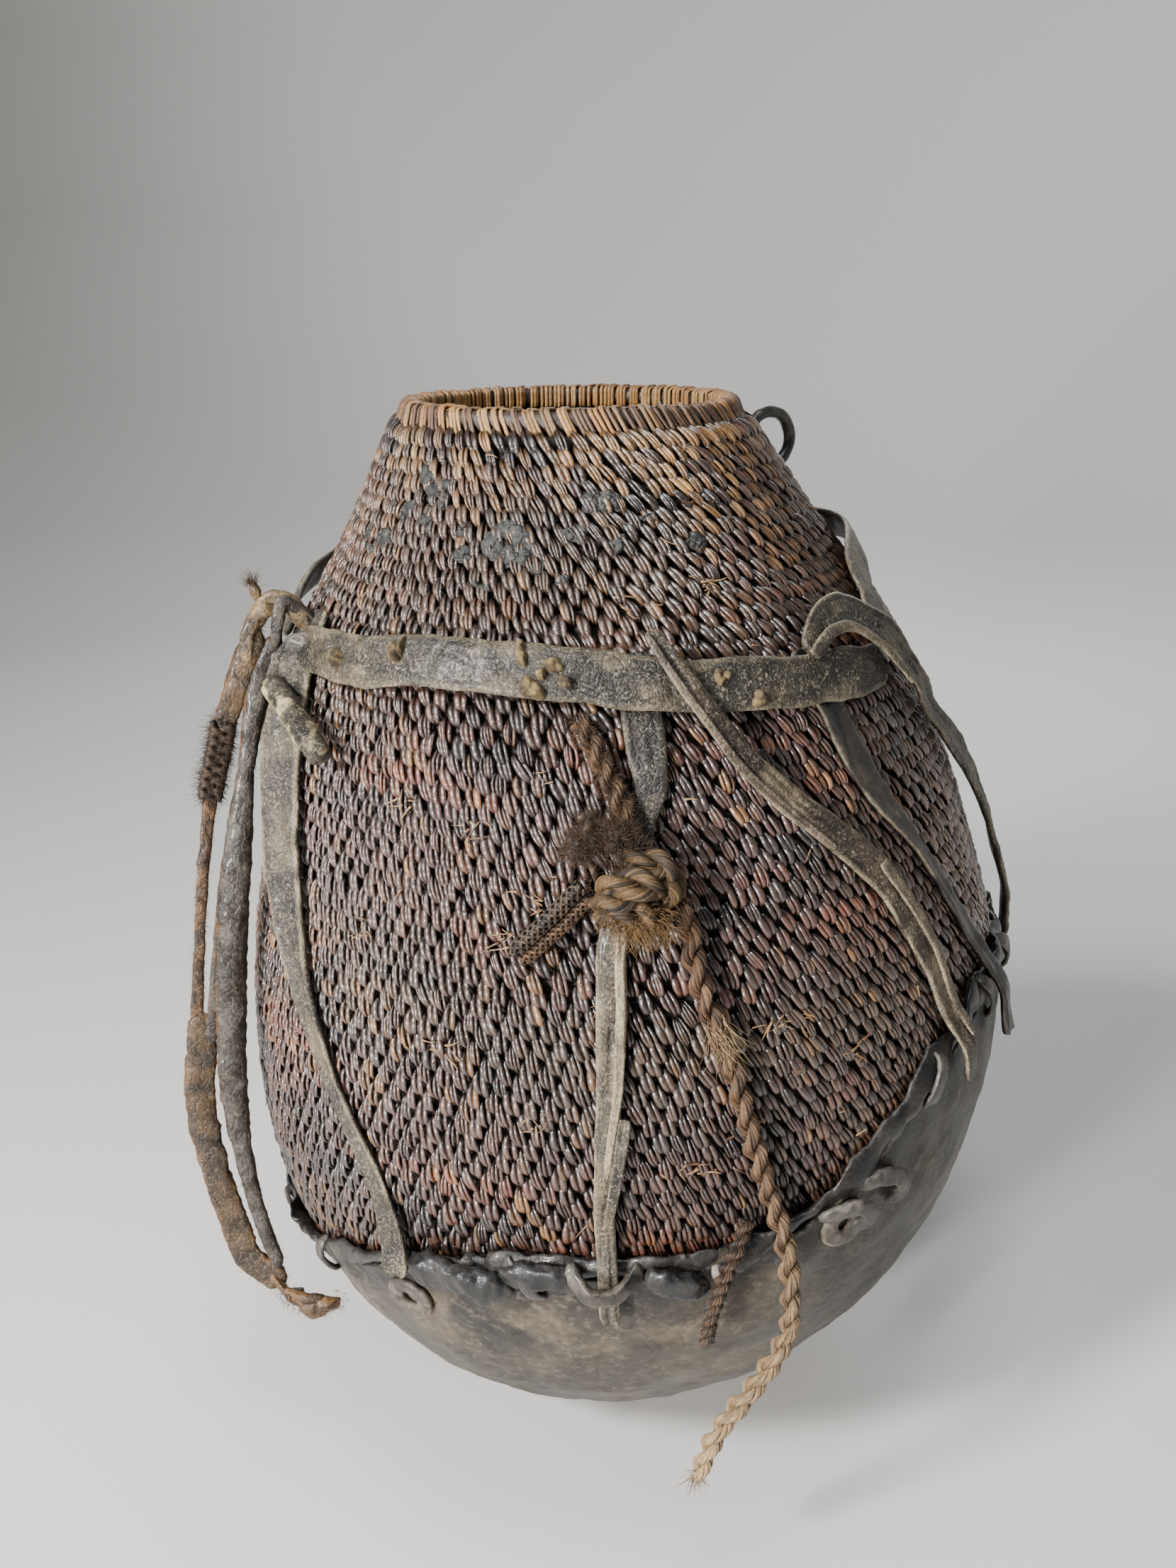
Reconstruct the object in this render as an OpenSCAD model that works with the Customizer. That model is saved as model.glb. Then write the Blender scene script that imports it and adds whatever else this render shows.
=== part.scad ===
// Coiled and stitched fibre vessel in a hide cup and a leather strap harness, with a knotted
// rope, a carrying strap and a leather ring. Millimetres, +Z up, front towards -Y.
// The origin is the centre of the flat spot that the hide cup rests on.
// Angles go round the vessel from the front: 0 is the front, 90 is +X, 180 is the back.

/* [Vessel] */
// Height from the resting face to the top of the rim
vessel_h = 332; // [300:1:360]
// Largest outside diameter of the coiled wall
belly_d = 247; // [230:1:260]
// Height of the largest diameter
belly_z = 133; // [125:1:140]
// Thickness of the coiled wall
wall_t = 5; // [4:0.5:7]
// Thickness of the rim coil
rim_t = 6.4; // [5:0.2:8]

/* [Hide] */
// Thickness of the hide cup
cup_t = 2.2; // [1.5:0.1:3]
// Diameter of the lacing cord round the edge of the cup
lace_d = 4; // [3:0.2:5]

/* [Leather straps] */
// Thickness of the flat straps
strap_t = 2.2; // [1.4:0.1:2.6]
// Width of the shoulder band
band_w = 14; // [10:0.5:16]
// Diameter of the rolled leather toggle
toggle_d = 7.2; // [4:0.2:7.6]
// Outside diameter of the leather ring behind the neck
ring_d = 22; // [16:1:26]

/* [Cords] */
// Diameter of the twisted rope
rope_d = 5; // [4:0.5:6]
// Diameter of the hair thong at the edge of the cup
thong_d = 3.6; // [3:0.2:4.5]
// Diameter of one leg of the braided loop
braid_d = 3.6; // [3:0.2:4]

/* [Hidden] */

belly_r = belly_d / 2;
foot_drop = belly_z + 4;        // depth of the lower half's ellipse
gap = 0.4;                      // air between neighbouring pieces
skin = gap + 0.4;               // where a strap's inner face lies above the wall
over_strap = skin + strap_t + 0.6;
over_band = over_strap + strap_t + 0.6;
cup_gap = 0.9;                  // air between the wall and the hide cup
cup_face = cup_gap + cup_t;     // outer face of the hide cup above the wall
over_lace = gap + lace_d + 1.3;
rim_z = vessel_h - rim_t / 2;
sides = 48;                     // facets round the vessel

// Wall radius from the belly to the rim in equal steps of height, as a share of the belly radius
SHOULDER = [0.98, 1, 0.983, 0.92, 0.842, 0.742, 0.567, 0.412, 0.30];
// Sideways lean of the centre line, from the foot to the rim in four equal steps
LEAN = [-5, 0, 4.4, 7.4, 1.6, -8, -18];
// Height of the cup's edge every 15 degrees, from the back round by the left side
CUP_EDGE = [112, 106, 100, 93, 86, 80, 77, 75, 77, 87, 103, 112, 116, 119, 135, 157, 165, 164, 160,
    150, 140, 131, 122, 117];

// Routes on the wall: [angle, height, width, height of the inner face above the wall]
BAND = [[-66, 266, 11, over_strap], [-43, 268, band_w, over_strap], [-27, 271, band_w, over_strap],
    [-9, 270.5, band_w, over_strap], [2, 269, band_w, over_strap], [12, 267, band_w, over_strap],
    [27, 265.5, band_w, over_strap], [42, 264, band_w, over_strap], [53, 263, 12, over_strap]];
BACK_BAND = [[57, 268, 11, over_strap], [70, 277, 11, over_strap], [90, 285, 12, over_strap],
    [120, 287, 12, over_strap], [150, 285, 12, over_strap], [180, 282, 12, over_strap],
    [210, 281, 12, over_strap], [240, 279, 12, over_strap], [268, 273, 11, over_strap],
    [287, 268, 10, over_strap]];
CENTRE = [[6, 275, 10.5, skin], [6, 258, 10.5, skin], [6, 246, 8, skin], [5, 232, 5, skin],
    [2, 222, 5, skin], [-1.2, 209, 7, skin], [-2.1, 190, 8, skin], [-2.6, 172, 6.5, skin],
    [-3.2, 152, 5, skin], [-3.2, 136, 5, skin], [-2.8, 127, 5, skin + 1], [-2.4, 119, 5, over_lace],
    [-2, 106, 5, over_lace]];
LEFT_WIDE = [[-61, 276, 8, skin], [-60, 258, 8, skin], [-60, 245, 8, skin], [-57, 222, 8, skin],
    [-52, 192, 8, skin], [-47, 172, 6, skin], [-42, 155, 5.5, skin], [-37, 140, 5.5, skin],
    [-33, 124, 6, skin], [-30.5, 112, 8, skin + 1.5], [-29, 104, 9, over_lace]];
LEFT_LOOP = [[-68, 275, 6, over_band], [-74, 264, 7, over_band], [-79, 252, 7, over_strap],
    [-79, 238, 7, skin + 1], [-79, 224, 6, skin], [-80, 208, 4, skin]];
DIAGONAL = [[9, 278, 4, over_band], [12, 270, 5, over_band], [16, 259, 6, over_band],
    [20, 249, 7, over_strap], [26, 238, 8, skin], [33, 226, 9, skin], [39, 214, 9, skin],
    [42, 202, 8, skin], [45, 188, 8, skin], [46.5, 172, 7, skin + 1], [48, 161, 7, over_lace],
    [49, 150, 8, over_lace]];
SECOND = [[37, 272, 10, skin], [38, 257, 10, skin], [41, 241, 9, skin], [44, 230, 7, skin],
    [49, 216, 5, skin], [53, 201, 5, skin], [57, 187, 6, skin], [60, 175, 6, skin + 1.5],
    [62, 163, 7, over_lace], [62, 150, 9, over_lace]];
RIGHT_SHOULDER = [[35, 270, 8, over_band], [42, 276, 9, over_band], [49, 276, 10, over_band],
    [56, 268, 10, over_band], [61, 256, 9, over_strap + 2], [66, 246, 9, skin + 2],
    [71, 234, 9, skin + 3], [77, 219, 8, skin + 4], [81, 200, 8, skin + 5], [84, 182, 8, skin + 5],
    [86, 170, 8, over_lace + 1], [87, 156, 9, over_lace]];
BACK_RIGHT = [[128, 292, 8, skin], [129, 270, 8, skin], [130, 245, 8, skin], [131, 215, 7, skin],
    [132, 185, 6, skin], [133, 160, 6, skin], [134, 144, 7, skin + 1.5], [134, 130, 8, over_lace]];
BACK_CENTRE = [[182, 288, 9, skin], [181, 262, 9, skin], [180, 235, 8, skin], [179, 205, 7, skin],
    [178, 170, 6, skin], [178, 140, 6, skin], [178, 125, 7, skin + 1.5], [178, 110, 8, over_lace]];
BACK_LEFT = [[236, 285, 8, skin], [235, 262, 8, skin], [233, 235, 8, skin], [232, 205, 7, skin],
    [231, 170, 6, skin], [230, 130, 6, skin], [230, 105, 6, skin + 1.5], [230, 88, 8, over_lace]];
HAIR_CORD = [[-3, 258, 0, 3], [-1, 252, 0, 3.2], [0.5, 246, 0, 3.6], [1.8, 239, 0, 4.6], [2.4, 233, 0, 5.6]];
// Patches of dark pitch on the neck: [angle, height, length, width]
PITCH = [[-39, 313, 10, 8], [-37, 304, 7, 6], [-16, 302, 12, 9], [6, 312, 11, 7], [0, 303, 7, 6],
    [27, 299, 8, 6], [-26, 297, 6, 5]];
// Dabs of dried mud on the band: [angle, height, diameter]
DABS = [[-47, 267, 5], [-34, 271, 4.5], [-11, 273, 4], [-10, 267, 5], [-6, 270, 5.5], [19, 268, 3.4],
    [24, 262, 3.4]];
// Eyelet tabs on the cup: [angle, height, diameter, hole diameter]
TABS = [[-30, 91, 15, 5], [28, 121, 15, 4], [110, 136, 15, 4], [205, 94, 15, 4], [262, 64, 15, 4]];

// Free cords and the carrying straps, points by hand
ROPE = [[19, -116, 220], [21.5, -115, 213.5], [22.5, -115.5, 207], [24, -117, 200],
    [26, -118, 193], [29, -119.5, 186], [32.5, -121, 178], [34.5, -122, 170], [37, -122.5, 161],
    [39.5, -122.5, 152], [42, -122.5, 143], [44.8, -122, 134], [47.5, -123, 126], [49.2, -124.5, 117],
    [50, -126, 107], [50, -126, 98], [47.5, -126, 89], [43.5, -126, 81], [39, -126, 73],
    [34.5, -126, 66], [31, -126, 59], [28.3, -126, 51.5], [26.5, -126, 45]];
THONG = [[38, -122, 129.5], [35.5, -125.5, 124], [32.5, -127.5, 118], [30.5, -128.5, 112],
    [29, -128.5, 106], [28, -128.5, 100], [27.5, -128, 94.5]];
CARRY_IN = [[-91, -43, 271], [-97, -44, 260], [-103, -47, 238], [-106, -49, 216], [-110, -52, 183],
    [-113, -56, 150], [-114, -60, 117], [-111, -62, 92], [-107, -65, 74], [-99, -67, 63]];
CARRY_OUT = [[-97, -44, 273], [-108, -46, 246], [-115, -48, 220], [-121, -52, 185], [-124.5, -57, 142],
    [-125, -60, 122], [-121.5, -62, 104], [-118.5, -64, 86], [-114, -66, 72], [-103, -67.5, 62]];
CARRY_FOOT = [[-101, -70, 58], [-95, -70, 56], [-88, -70, 57], [-83, -70, 60]];
TOGGLE = [[-63, 254.5, 0, 9.8], [-43.5, 243.5, 0, 10.6]];
BRAID = [[-5.3, 221.5, 0, 5.4], [-8.8, 213.5, 0, 5.2], [-12.6, 205, 0, 5]];

function catmull(a, b, c, d, t) = 0.5 * (2 * b + (c - a) * t + (2 * a - 5 * b + 4 * c - d) * t * t
    + (3 * b - a - 3 * c + d) * t * t * t);
// A smooth curve through all but the first and last entries of a list; u counts entries
function through(list, u) =
    let (last = len(list) - 4, i = min(last, max(0, floor(u))), t = u - i)
    catmull(list[i], list[i + 1], list[i + 2], list[i + 3], t);
function padded(list) = concat([2 * list[0] - list[1]], list,
    [2 * list[len(list) - 1] - list[len(list) - 2]]);

function wall_r(z) = z < belly_z
    ? belly_r * sqrt(max(0, 1 - pow((belly_z - z) / foot_drop, 2)))
    : belly_r * through(SHOULDER, (z - belly_z) * 6 / (vessel_h - belly_z));
function lean(z) = through(LEAN, 4 * z / vessel_h);
function slope(z) = (wall_r(z + 0.5) - wall_r(z - 0.5));
function cup_edge(a) =
    let (n = len(CUP_EDGE), u = (a + 540) % 360 / 15, i = floor(u), t = u - i)
    catmull(CUP_EDGE[(i + n - 1) % n], CUP_EDGE[i % n], CUP_EDGE[(i + 1) % n], CUP_EDGE[(i + 2) % n], t);
// A point above the wall, and the wall's outward direction there
function out(a, z) = let (s = slope(z), k = 1 / sqrt(1 + s * s)) [k * sin(a), -k * cos(a), -k * s];
function foot(a, z) = [lean(z) + wall_r(z) * sin(a), -wall_r(z) * cos(a), z];
function at(a, z, lift) = foot(a, z) + lift * out(a, z);

function inside(a, z) =
    let (p = foot(a, z), o = out(a, z)) [p[0] - wall_t * o[0], p[1] - wall_t * o[1], z < 20 ? z + wall_t : z];

// Triangles that close a stack of rings, each of m points
function skin_faces(rings, m) = concat(
    [for (i = [0:rings - 2], j = [0:m - 1]) [i * m + j, i * m + (j + 1) % m, (i + 1) * m + j]],
    [for (i = [0:rings - 2], j = [0:m - 1]) [i * m + (j + 1) % m, (i + 1) * m + (j + 1) % m, (i + 1) * m + j]],
    [[for (j = [m - 1:-1:0]) j]], [[for (j = [0:m - 1]) (rings - 1) * m + j]]);

// A flat strap of six-cornered section along a route on the wall
module strap(route, thick = strap_t, per_step = 3) {
    path = padded(route);
    count = (len(route) - 1) * per_step;
    rings = [for (i = [0:count])
        let (u = i / per_step, p = through(path, u), q = through(path, min(u + 0.05, len(route) - 1)),
            o = through(path, max(u - 0.05, 0)), r = wall_r(p[1]), s = sqrt(1 + pow(slope(p[1]), 2)),
            dx = (q[0] - o[0]) * r * PI / 180, dz = (q[1] - o[1]) * s, l = sqrt(dx * dx + dz * dz))
        for (c = [[-1, 0], [0, 0], [1, 0], [1, 1], [0, 1], [-1, 1]])
            at(p[0] + c[0] * p[2] / 2 * dz / l / r * 180 / PI, p[1] - c[0] * p[2] / 2 * dx / l / s,
                p[3] + c[1] * thick)];
    polyhedron(rings, skin_faces(count + 1, 6));
}

// A round cord of n sides through points in space
module cord(points, d, n = 8, per_step = 2, wide = 1) {
    path = padded(points);
    count = (len(points) - 1) * per_step;
    rings = [for (i = [0:count])
        let (u = i / per_step, p = through(path, u), q = through(path, min(u + 0.05, len(points) - 1)),
            o = through(path, max(u - 0.05, 0)), t = (q - o) / norm(q - o),
            side = cross(t, [p[0], p[1], 0]), s = side / norm(side), b = cross(t, s))
        for (j = [0:n - 1]) p + d / 2 * (wide * cos(j * 360 / n) * s + sin(j * 360 / n) * b)];
    polyhedron(rings, skin_faces(count + 1, n));
}
function on_wall(route) = [for (p = route) at(p[0], p[1], p[3])];

// Places children on the wall with their +Z pointing out of it
module on(a, z, lift) {
    tilt = atan(slope(z));
    translate(at(a, z, lift)) rotate([0, 0, a - 90]) rotate([0, 90 + tilt, 0]) children();
}

module basket_wall() color("#4a3236") {
    outer = [4, 7, 12, 19, 28, 40, 54, 70, 90, 110, belly_z, 152, 172, 192, 212, 232, 248, 262, 274, 286,
        298, 310, vessel_h - rim_t - gap];
    inner = [for (i = [len(outer) - 1:-1:1]) outer[i]];
    rings = concat(
        [for (z = outer, j = [0:sides - 1]) foot(j * 360 / sides, z)],
        [for (z = inner, j = [0:sides - 1]) inside(j * 360 / sides, z)]);
    polyhedron(rings, skin_faces(len(outer) + len(inner), sides));
}

module rim_coil() color("#a58b63")
    translate([lean(rim_z), 0, rim_z]) rotate_extrude($fn = 96)
        translate([wall_r(vessel_h) - rim_t / 2, 0]) circle(d = rim_t, $fn = 24);

module pitch_patches() color("#3b3d3f")
    for (p = PITCH)
        strap([for (k = [-2:2]) [p[0], p[1] + k * p[2] / 5, p[3] * sqrt(1.15 - k * k / 5), gap]], 1, 1);

// A point of the hide cup a share of the way from its foot up to its edge
function cup_point(a, share, lift, lowest) =
    let (p = at(a, share * cup_edge(a) + 1.2 * (1 - share), lift))
    [p[0], p[1], share == 0 ? lowest : max(p[2], lowest + 0.6)];
module hide_cup() color("#6f6a62") {
    shares = [0, 0.02, 0.05, 0.1, 0.17, 0.26, 0.38, 0.52, 0.68, 0.84, 1];
    outer = [for (k = shares, j = [0:sides - 1]) cup_point(j * 360 / sides, k, cup_face, 0)];
    inner = [for (i = [len(shares) - 1:-1:1], j = [0:sides - 1])
        cup_point(j * 360 / sides, shares[i], cup_gap, cup_t - 0.6)];
    polyhedron(concat(outer, inner), skin_faces(2 * len(shares) - 1, sides));
}

module cup_lacing() color("#3c3835") {
    n = 6;
    count = 72;
    ring = [for (i = [0:count - 1]) at(i * 5, cup_edge(i * 5) + lace_d / 2 + 0.8, gap + lace_d / 2 + 0.2)];
    rings = [for (i = [0:count - 1]) let (t = ring[(i + 1) % count] - ring[(i + count - 1) % count],
        o = out(i * 5, cup_edge(i * 5)), s = cross(t, o) / norm(cross(t, o)))
        for (j = [0:n - 1]) ring[i] + lace_d / 2 * (cos(j * 60) * s + sin(j * 60) * o)];
    polyhedron(rings, [for (i = [0:count - 1], j = [0:n - 1], k = [0, 1])
        let (p = i * n + j, q = i * n + (j + 1) % n, r = ((i + 1) % count) * n + j,
            s = ((i + 1) % count) * n + (j + 1) % n) k == 0 ? [p, q, r] : [q, s, r]]);
}

module lace_loop() color("#4d4843")
    cord([for (k = [-2:2]) at(-2.4 + k * 2.4, 113 - abs(k), over_lace + strap_t + 3.2 - k * k * 0.9)], 3.6, 8, 3);

module eyelet_tabs() color("#5d5852")
    for (t = TABS)
        on(t[0], t[1], cup_face + 0.7) difference() {
            cylinder(d = t[2], h = 1.8, $fn = 40);
            translate([0, 0, -1]) cylinder(d = t[3], h = 4, $fn = 32);
        }

module shoulder_band() color("#5b554c") strap(BAND, strap_t, 4);
module back_shoulder_strap() color("#5b554c") strap(BACK_BAND, strap_t, 4);
module centre_strap() color("#6a6255") strap(CENTRE);
module left_wide_strap() color("#57524a") strap(LEFT_WIDE);
module left_loop_strap() color("#57524a") strap(LEFT_LOOP);
module diagonal_strap() color("#5b5348") strap(DIAGONAL);
module second_right_strap() color("#4c4a47") strap(SECOND);
module right_shoulder_strap() color("#57524a") strap(RIGHT_SHOULDER);
module back_left_strap() color("#57524a") strap(BACK_LEFT);
module back_centre_strap() color("#57524a") strap(BACK_CENTRE);
module back_right_strap() color("#57524a") strap(BACK_RIGHT);

module band_dabs() color("#8f7d58")
    for (d = DABS) on(d[0], d[1], over_band - 0.1) cylinder(d = d[2], h = 1.8, $fn = 24);

module hair_cord() color("#4a3326") cord(on_wall(HAIR_CORD), 5.2, 8, 2);

module hair_tuft() color("#3d2a20")
    hull() {
        translate(at(-5.2, 231, 7.5)) sphere(d = 8, $fn = 24);
        translate(at(-3.2, 235, 8)) sphere(d = 8, $fn = 24);
        translate(at(-0.6, 235, 8.5)) sphere(d = 7, $fn = 24);
    }

module rope_knot() color("#9a7b57")
    hull() {
        translate(at(-1.2, 221.5, 10)) sphere(d = 12, $fn = 28);
        translate(at(3.8, 223, 10)) sphere(d = 13, $fn = 28);
        translate(at(1.8, 216.5, 10)) sphere(d = 12, $fn = 28);
    }

module rope_tail() color("#a68762") cord(ROPE, rope_d);
module hair_thong() color("#5a3f2d") cord(THONG, thong_d);

// The ring behind the neck, its tab and the keeper that it swings in
ring_a = 123;
ring_z = 315;
ring_wire = 4;
keeper_wire = 2.2;
keeper_hole = 6.4;
keeper_out = keeper_hole / 2 + keeper_wire + 1.4;
keeper_r = wall_r(ring_z) + keeper_out;
module ring_frame() translate([lean(ring_z), 0, ring_z]) rotate([0, 0, ring_a - 90]) children();
module torus(mid_d, wire) rotate_extrude($fn = 64) translate([mid_d / 2, 0]) circle(d = wire, $fn = 24);

module neck_tab() color("#4c4a47")
    strap([for (rise = [-3.5, 2, 8]) [ring_a, ring_z + rise, 9, skin - 0.3]], 1.4);
module ring_keeper() color("#4c4a47")
    ring_frame() translate([keeper_r, 0, 0]) torus(keeper_hole + keeper_wire, keeper_wire);
module neck_ring() color("#3a3836")
    ring_frame() translate([keeper_r + (ring_d - ring_wire) / 2, 0, 0]) rotate([90, 0, 0])
        torus(ring_d - ring_wire, ring_wire);

module carry_strap_inner() color("#6b5a48") cord(CARRY_IN, 3.2, 8, 3, 1.8);
module carry_strap_outer() color("#7a6148") cord(CARRY_OUT, 3, 8, 3, 2.6);
module carry_strap_knot() color("#8a7458")
    hull() {
        translate([-94, -43.5, 276]) sphere(d = 9, $fn = 28);
        translate([-88, -43, 280]) sphere(d = 9, $fn = 28);
        translate([-96, -44, 283]) sphere(d = 4, $fn = 28);
    }
module hair_binding() color("#4a3323")
    hull() {
        translate([-110, -46.5, 240]) sphere(d = 11, $fn = 28);
        translate([-114, -48, 226]) sphere(d = 10, $fn = 28);
    }
module carry_strap_foot() color("#7d5f3f") cord(CARRY_FOOT, 6, 8, 2, 1.5);

module toggle() color("#6a665d") {
    ends = on_wall(TOGGLE);
    reach = ends[1] - ends[0];
    translate(ends[0]) rotate([0, acos(reach[2] / norm(reach)), atan2(reach[1], reach[0])])
        cylinder(d = toggle_d, h = norm(reach), $fn = 40);
}

module braided_loop() color("#4b3a2e") cord(on_wall(BRAID), 2 * braid_d - 0.6, 8, 2);

basket_wall();
rim_coil();
pitch_patches();
hide_cup();
cup_lacing();
lace_loop();
eyelet_tabs();
shoulder_band();
back_shoulder_strap();
centre_strap();
left_wide_strap();
left_loop_strap();
diagonal_strap();
second_right_strap();
right_shoulder_strap();
back_left_strap();
back_centre_strap();
back_right_strap();
band_dabs();
hair_cord();
hair_tuft();
rope_knot();
rope_tail();
hair_thong();
neck_tab();
ring_keeper();
neck_ring();
carry_strap_inner();
carry_strap_outer();
carry_strap_knot();
hair_binding();
carry_strap_foot();
toggle();
braided_loop();
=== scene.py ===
import itertools
import math

import bpy
import numpy as np
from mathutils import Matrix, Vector


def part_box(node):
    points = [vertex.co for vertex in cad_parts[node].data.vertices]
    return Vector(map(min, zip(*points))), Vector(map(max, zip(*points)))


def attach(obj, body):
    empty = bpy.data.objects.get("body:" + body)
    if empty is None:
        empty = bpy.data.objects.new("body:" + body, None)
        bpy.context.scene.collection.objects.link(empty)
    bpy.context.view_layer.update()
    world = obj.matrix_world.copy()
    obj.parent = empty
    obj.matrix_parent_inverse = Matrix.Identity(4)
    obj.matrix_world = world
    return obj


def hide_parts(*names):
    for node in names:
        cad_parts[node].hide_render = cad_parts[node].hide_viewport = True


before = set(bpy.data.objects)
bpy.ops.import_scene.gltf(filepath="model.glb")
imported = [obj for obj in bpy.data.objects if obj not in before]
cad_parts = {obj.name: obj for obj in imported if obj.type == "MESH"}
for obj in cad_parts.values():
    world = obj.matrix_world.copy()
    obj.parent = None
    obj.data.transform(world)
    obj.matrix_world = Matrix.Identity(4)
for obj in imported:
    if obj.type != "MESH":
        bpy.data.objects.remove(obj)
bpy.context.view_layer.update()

MM = 0.001  # the script works in millimetres and makes meshes in metres

# ---------------------------------------------------------------- the vessel's surface, from the frame

belly_r = (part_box("basket_wall")[1].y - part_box("basket_wall")[0].y) / 2 / MM
vessel_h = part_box("rim_coil")[1].z / MM
belly_z = 133  # height of the largest diameter
foot_drop = belly_z + 4  # depth of the lower half's ellipse
# Radius from the belly to the rim in equal steps of height, as a share of the belly radius
SHOULDER = [0.98, 1, 0.983, 0.92, 0.842, 0.742, 0.567, 0.412, 0.30]
# Sideways lean of the centre line, from the foot to the rim in four equal steps
LEAN = [-5, 0, 4.4, 7.4, 1.6, -8, -18]
# Height of the cup's edge every 15 degrees, from the back round by the left side
CUP_EDGE = [112, 106, 100, 93, 86, 80, 77, 75, 77, 87, 103, 112, 116, 119, 135, 157, 165, 164, 160,
            150, 140, 131, 122, 117]
cup_face = 3.1  # outer face of the hide cup above the wall

strap_t = 2.2
# Where a strap's inner face lies above the wall
skin = 0.8
over_strap = skin + strap_t + 0.6
over_band = over_strap + strap_t + 0.6
over_lace = 5.7

# Free cords, the same points as in the part, in metres
ROPE_ROUTE = [(.019, -.116, .220), (.0215, -.115, .2135), (.0225, -.1155, .207), (.024, -.117, .200),
              (.026, -.118, .193), (.029, -.1195, .186), (.0325, -.121, .178), (.0345, -.122, .170),
              (.037, -.1225, .161), (.0395, -.1225, .152), (.042, -.1225, .143), (.0448, -.122, .134),
              (.0475, -.123, .126), (.0492, -.1245, .117), (.050, -.126, .107), (.050, -.126, .098),
              (.0475, -.126, .089), (.0435, -.126, .081), (.039, -.126, .073), (.0345, -.126, .066),
              (.031, -.126, .059), (.0283, -.126, .0515), (.0265, -.126, .045)]
THONG_ROUTE = [(.038, -.122, .1295), (.0355, -.1255, .124), (.0325, -.1275, .118), (.0305, -.1285, .112),
               (.029, -.1285, .106), (.028, -.1285, .100), (.0275, -.128, .0945)]


def spline(values, u):
    """A smooth curve through all but the first and last of values; u counts them, as in the part"""
    values = np.asarray(values, float)
    i = np.clip(np.floor(u).astype(int), 0, len(values) - 4)
    t = u - i
    if values.ndim > 1:
        t = t[..., None]
    a, b, c, d = (values[i + k] for k in range(4))
    return 0.5 * (2 * b + (c - a) * t + (2 * a - 5 * b + 4 * c - d) * t ** 2
                  + (3 * b - a - 3 * c + d) * t ** 3)


def wall_r(z):
    z = np.asarray(z, float)
    low = belly_r * np.sqrt(np.maximum(0, 1 - ((belly_z - z) / foot_drop) ** 2))
    high = belly_r * spline(SHOULDER, (np.maximum(z, belly_z) - belly_z) * 6 / (vessel_h - belly_z))
    return np.where(z < belly_z, low, high)


def lean(z):
    return spline(LEAN, 4 * np.asarray(z, float) / vessel_h)


def slope(z):
    return wall_r(z + 0.5) - wall_r(z - 0.5)


def out(a, z):
    """The wall's outward direction at an angle and a height"""
    s = slope(z)
    k = 1 / np.sqrt(1 + s * s)
    turn = np.radians(a)
    return np.stack([k * np.sin(turn), -k * np.cos(turn), -k * s + 0 * turn], -1)


def at(a, z, lift):
    """The point a lift above the wall"""
    a, z, lift = np.broadcast_arrays(np.asarray(a, float), np.asarray(z, float), np.asarray(lift, float))
    turn = np.radians(a)
    foot = np.stack([lean(z) + wall_r(z) * np.sin(turn), -wall_r(z) * np.cos(turn), z], -1)
    return foot + lift[..., None] * out(a, z)


def on_wall(points):
    return [tuple(at(a, z, lift)) for a, z, lift in points]


def beside(a, z, u, v):
    """Angle and height of the point u round the wall and v up along it from another"""
    return a + np.degrees(u / wall_r(z)), z + v / np.sqrt(1 + slope(z) ** 2)


def cup_edge(a):
    edge = CUP_EDGE[-1:] + CUP_EDGE + CUP_EDGE[:2]
    return spline(edge, (np.asarray(a, float) + 540) % 360 / 15)


# ---------------------------------------------------------------- paths, noise and colour

def unit(v):
    return v / np.maximum(np.linalg.norm(v, axis=-1, keepdims=True), 1e-9)


def run_along(path):
    """Distance along a path at each of its points"""
    return np.concatenate([[0], np.cumsum(np.linalg.norm(np.diff(path, axis=0), axis=1))])


def dense_spline(points):
    """Many points on a smooth curve through every point"""
    p = np.asarray(points, float)
    padded = np.vstack([2 * p[0] - p[1], p, 2 * p[-1] - p[-2]])
    return spline(padded, np.linspace(0, len(p) - 1, 40 * len(p)))


def curve(points, step):
    """A smooth curve through every point, resampled about every step"""
    dense = dense_spline(points)
    run = run_along(dense)
    places = np.linspace(0, run[-1], max(3, int(run[-1] / step) + 1))
    return np.stack([np.interp(places, run, values) for values in dense.T], -1)


def across(path, hint):
    """Directions across a path: sideways, and up, which is about along hint"""
    tangent = unit(np.gradient(path, axis=-2))
    side = unit(np.cross(np.broadcast_to(hint, path.shape), tangent))
    return side, np.cross(tangent, side)


def off_path(path, side, rise, turn, reach):
    """Points at a reach from a path and at an angle round it"""
    return path + reach[:, None] * (np.cos(turn)[:, None] * side + np.sin(turn)[:, None] * rise)


def rings_round(path, side, rise, x, y):
    """Rings round a path, whose corners lie x along side and y along rise"""
    return path[..., None, :] + x[..., None] * side[..., None, :] + y[..., None] * rise[..., None, :]


def round_steps(count, start=0.0):
    return (np.arange(count) + start) * 2 * np.pi / count


def spread_along(values, run):
    """Values given at equal steps of a path, at every point of it"""
    values = np.atleast_1d(values)
    return np.interp(run / run[-1], np.linspace(0, 1, len(values)), values)


def flat(x, y, third=0):
    return np.stack([x + 0 * y, y + 0 * x, 0 * x + 0 * y + third], -1)


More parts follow.
